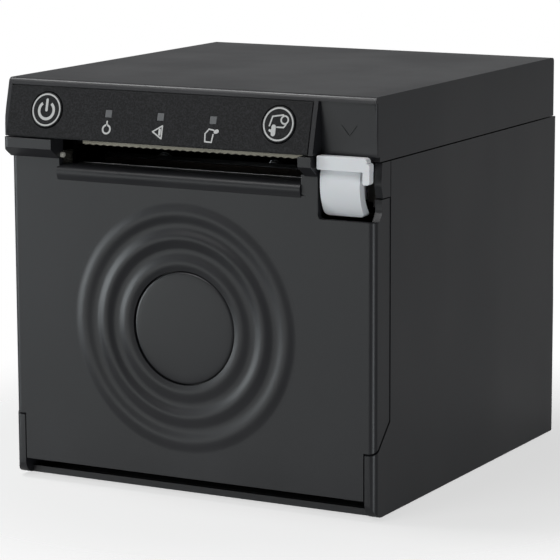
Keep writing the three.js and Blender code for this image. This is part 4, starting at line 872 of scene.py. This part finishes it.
def window_symbols():
    """The three small symbols, one under each window of the strip."""
    low = MID_UP - SYMBOL_DROP
    x = WINDOW_X[0] - 0.2
    stem = strokes(around(x, low, (0, 1.4), (0, 2.3)), 0.5)
    printed("ready_symbol", "body", [arc(x, low - 0.2, 1.05, 1.6, 100, 440)] + stem, STRIP_FACE)
    x = WINDOW_X[1] - 0.4
    triangle = strokes(around(x, low, (-1.9, 0), (1.4, 2.0), (1.4, -2.0)), THIN, True)
    printed("alarm_symbol", "body", triangle, STRIP_FACE)
    printed("alarm_bar", "body", strokes(around(x, low, (0.6, -0.7), (0.6, 0.7)), 0.8), STRIP_FACE)
    x = WINDOW_X[2] - 0.4
    paper = strokes(around(x, low, (-1.7, -2.0), (-1.9, 0.4), (-0.7, 1.9), (0.9, 1.7)), THIN)
    paper += strokes(around(x, low, (-1.7, -2.0), (0.6, -2.1), (0.9, 0.3)), THIN)
    printed("paper_symbol", "body", paper, STRIP_FACE)
    printed("paper_flag", "body", strokes(around(x, low, (1.6, 1.2), (2.2, 1.4)), 1.2), STRIP_FACE)


def press_mark():
    """The thin arrowhead on the cover's front above the lever. It points down at the lever."""
    arrow = strokes([(53.0, 121.0), (55.5, 118.0), (58.0, 121.0)], 0.3)
    sides = [profile("press_mark", "y", outline, 0.9, 1.25) for outline in arrow]
    weld(sides[0], *sides[1:])
    sides[0].name = "press_mark"
    settle(sides[0], "body", "case_black")


# ---------------------------------------------------------------- the whole printer
REMADE = {"front_door", "emblem_disc", "power_button", "feed_button"}
LARGE = {"base_housing", "top_cover", "release_lever"}
FINE = {
    "idler_gear", "feed_pinion", "cutter_pinion", "platen_gear", "lever_spring", "head_spring_left",
    "head_spring_right",
}
EASE_LARGE, EASE_USUAL, EASE_FINE = 0.3, 0.14, 0.06
SPECIAL_FINISH = {"tear_bar": TEAR_STEEL, "moving_blade": SLOT_SHADE_STEEL, "blade_carrier": SLOT_SHADE_STEEL}


def finish_node(node):
    """Puts an eased copy in a node's place. The base gets a groove that carries the door's side line up."""
    if node in LARGE:
        width, steps = EASE_LARGE, 3
    else:
        width, steps = EASE_FINE if node in FINE else EASE_USUAL, 2
    cuts = [block("cheek_seam", (64.3, 66), (10.0, 10.4), (98, 110.5))] if node == "base_housing" else ()
    finished_copy(node, width, steps, cuts, SPECIAL_FINISH.get(node))


def main():
    """Builds the studio, the remade pieces, a copy of every other node, and the floor."""
    add_camera()
    add_world()
    for light in LIGHTS:
        add_light(*light)
    front_door()
    door_ripples()
    emblem_disc()
    button("power", POWER_X, "power_key", "power_button")
    button("feed", FEED_X, "feed_key", "feed_button")
    key_symbols()
    window_symbols()
    press_mark()
    for node in frame["nodes"]:
        if node not in REMADE:
            finish_node(node)
    add_floor()
    bpy.context.scene.view_settings.view_transform = "Standard"


main()
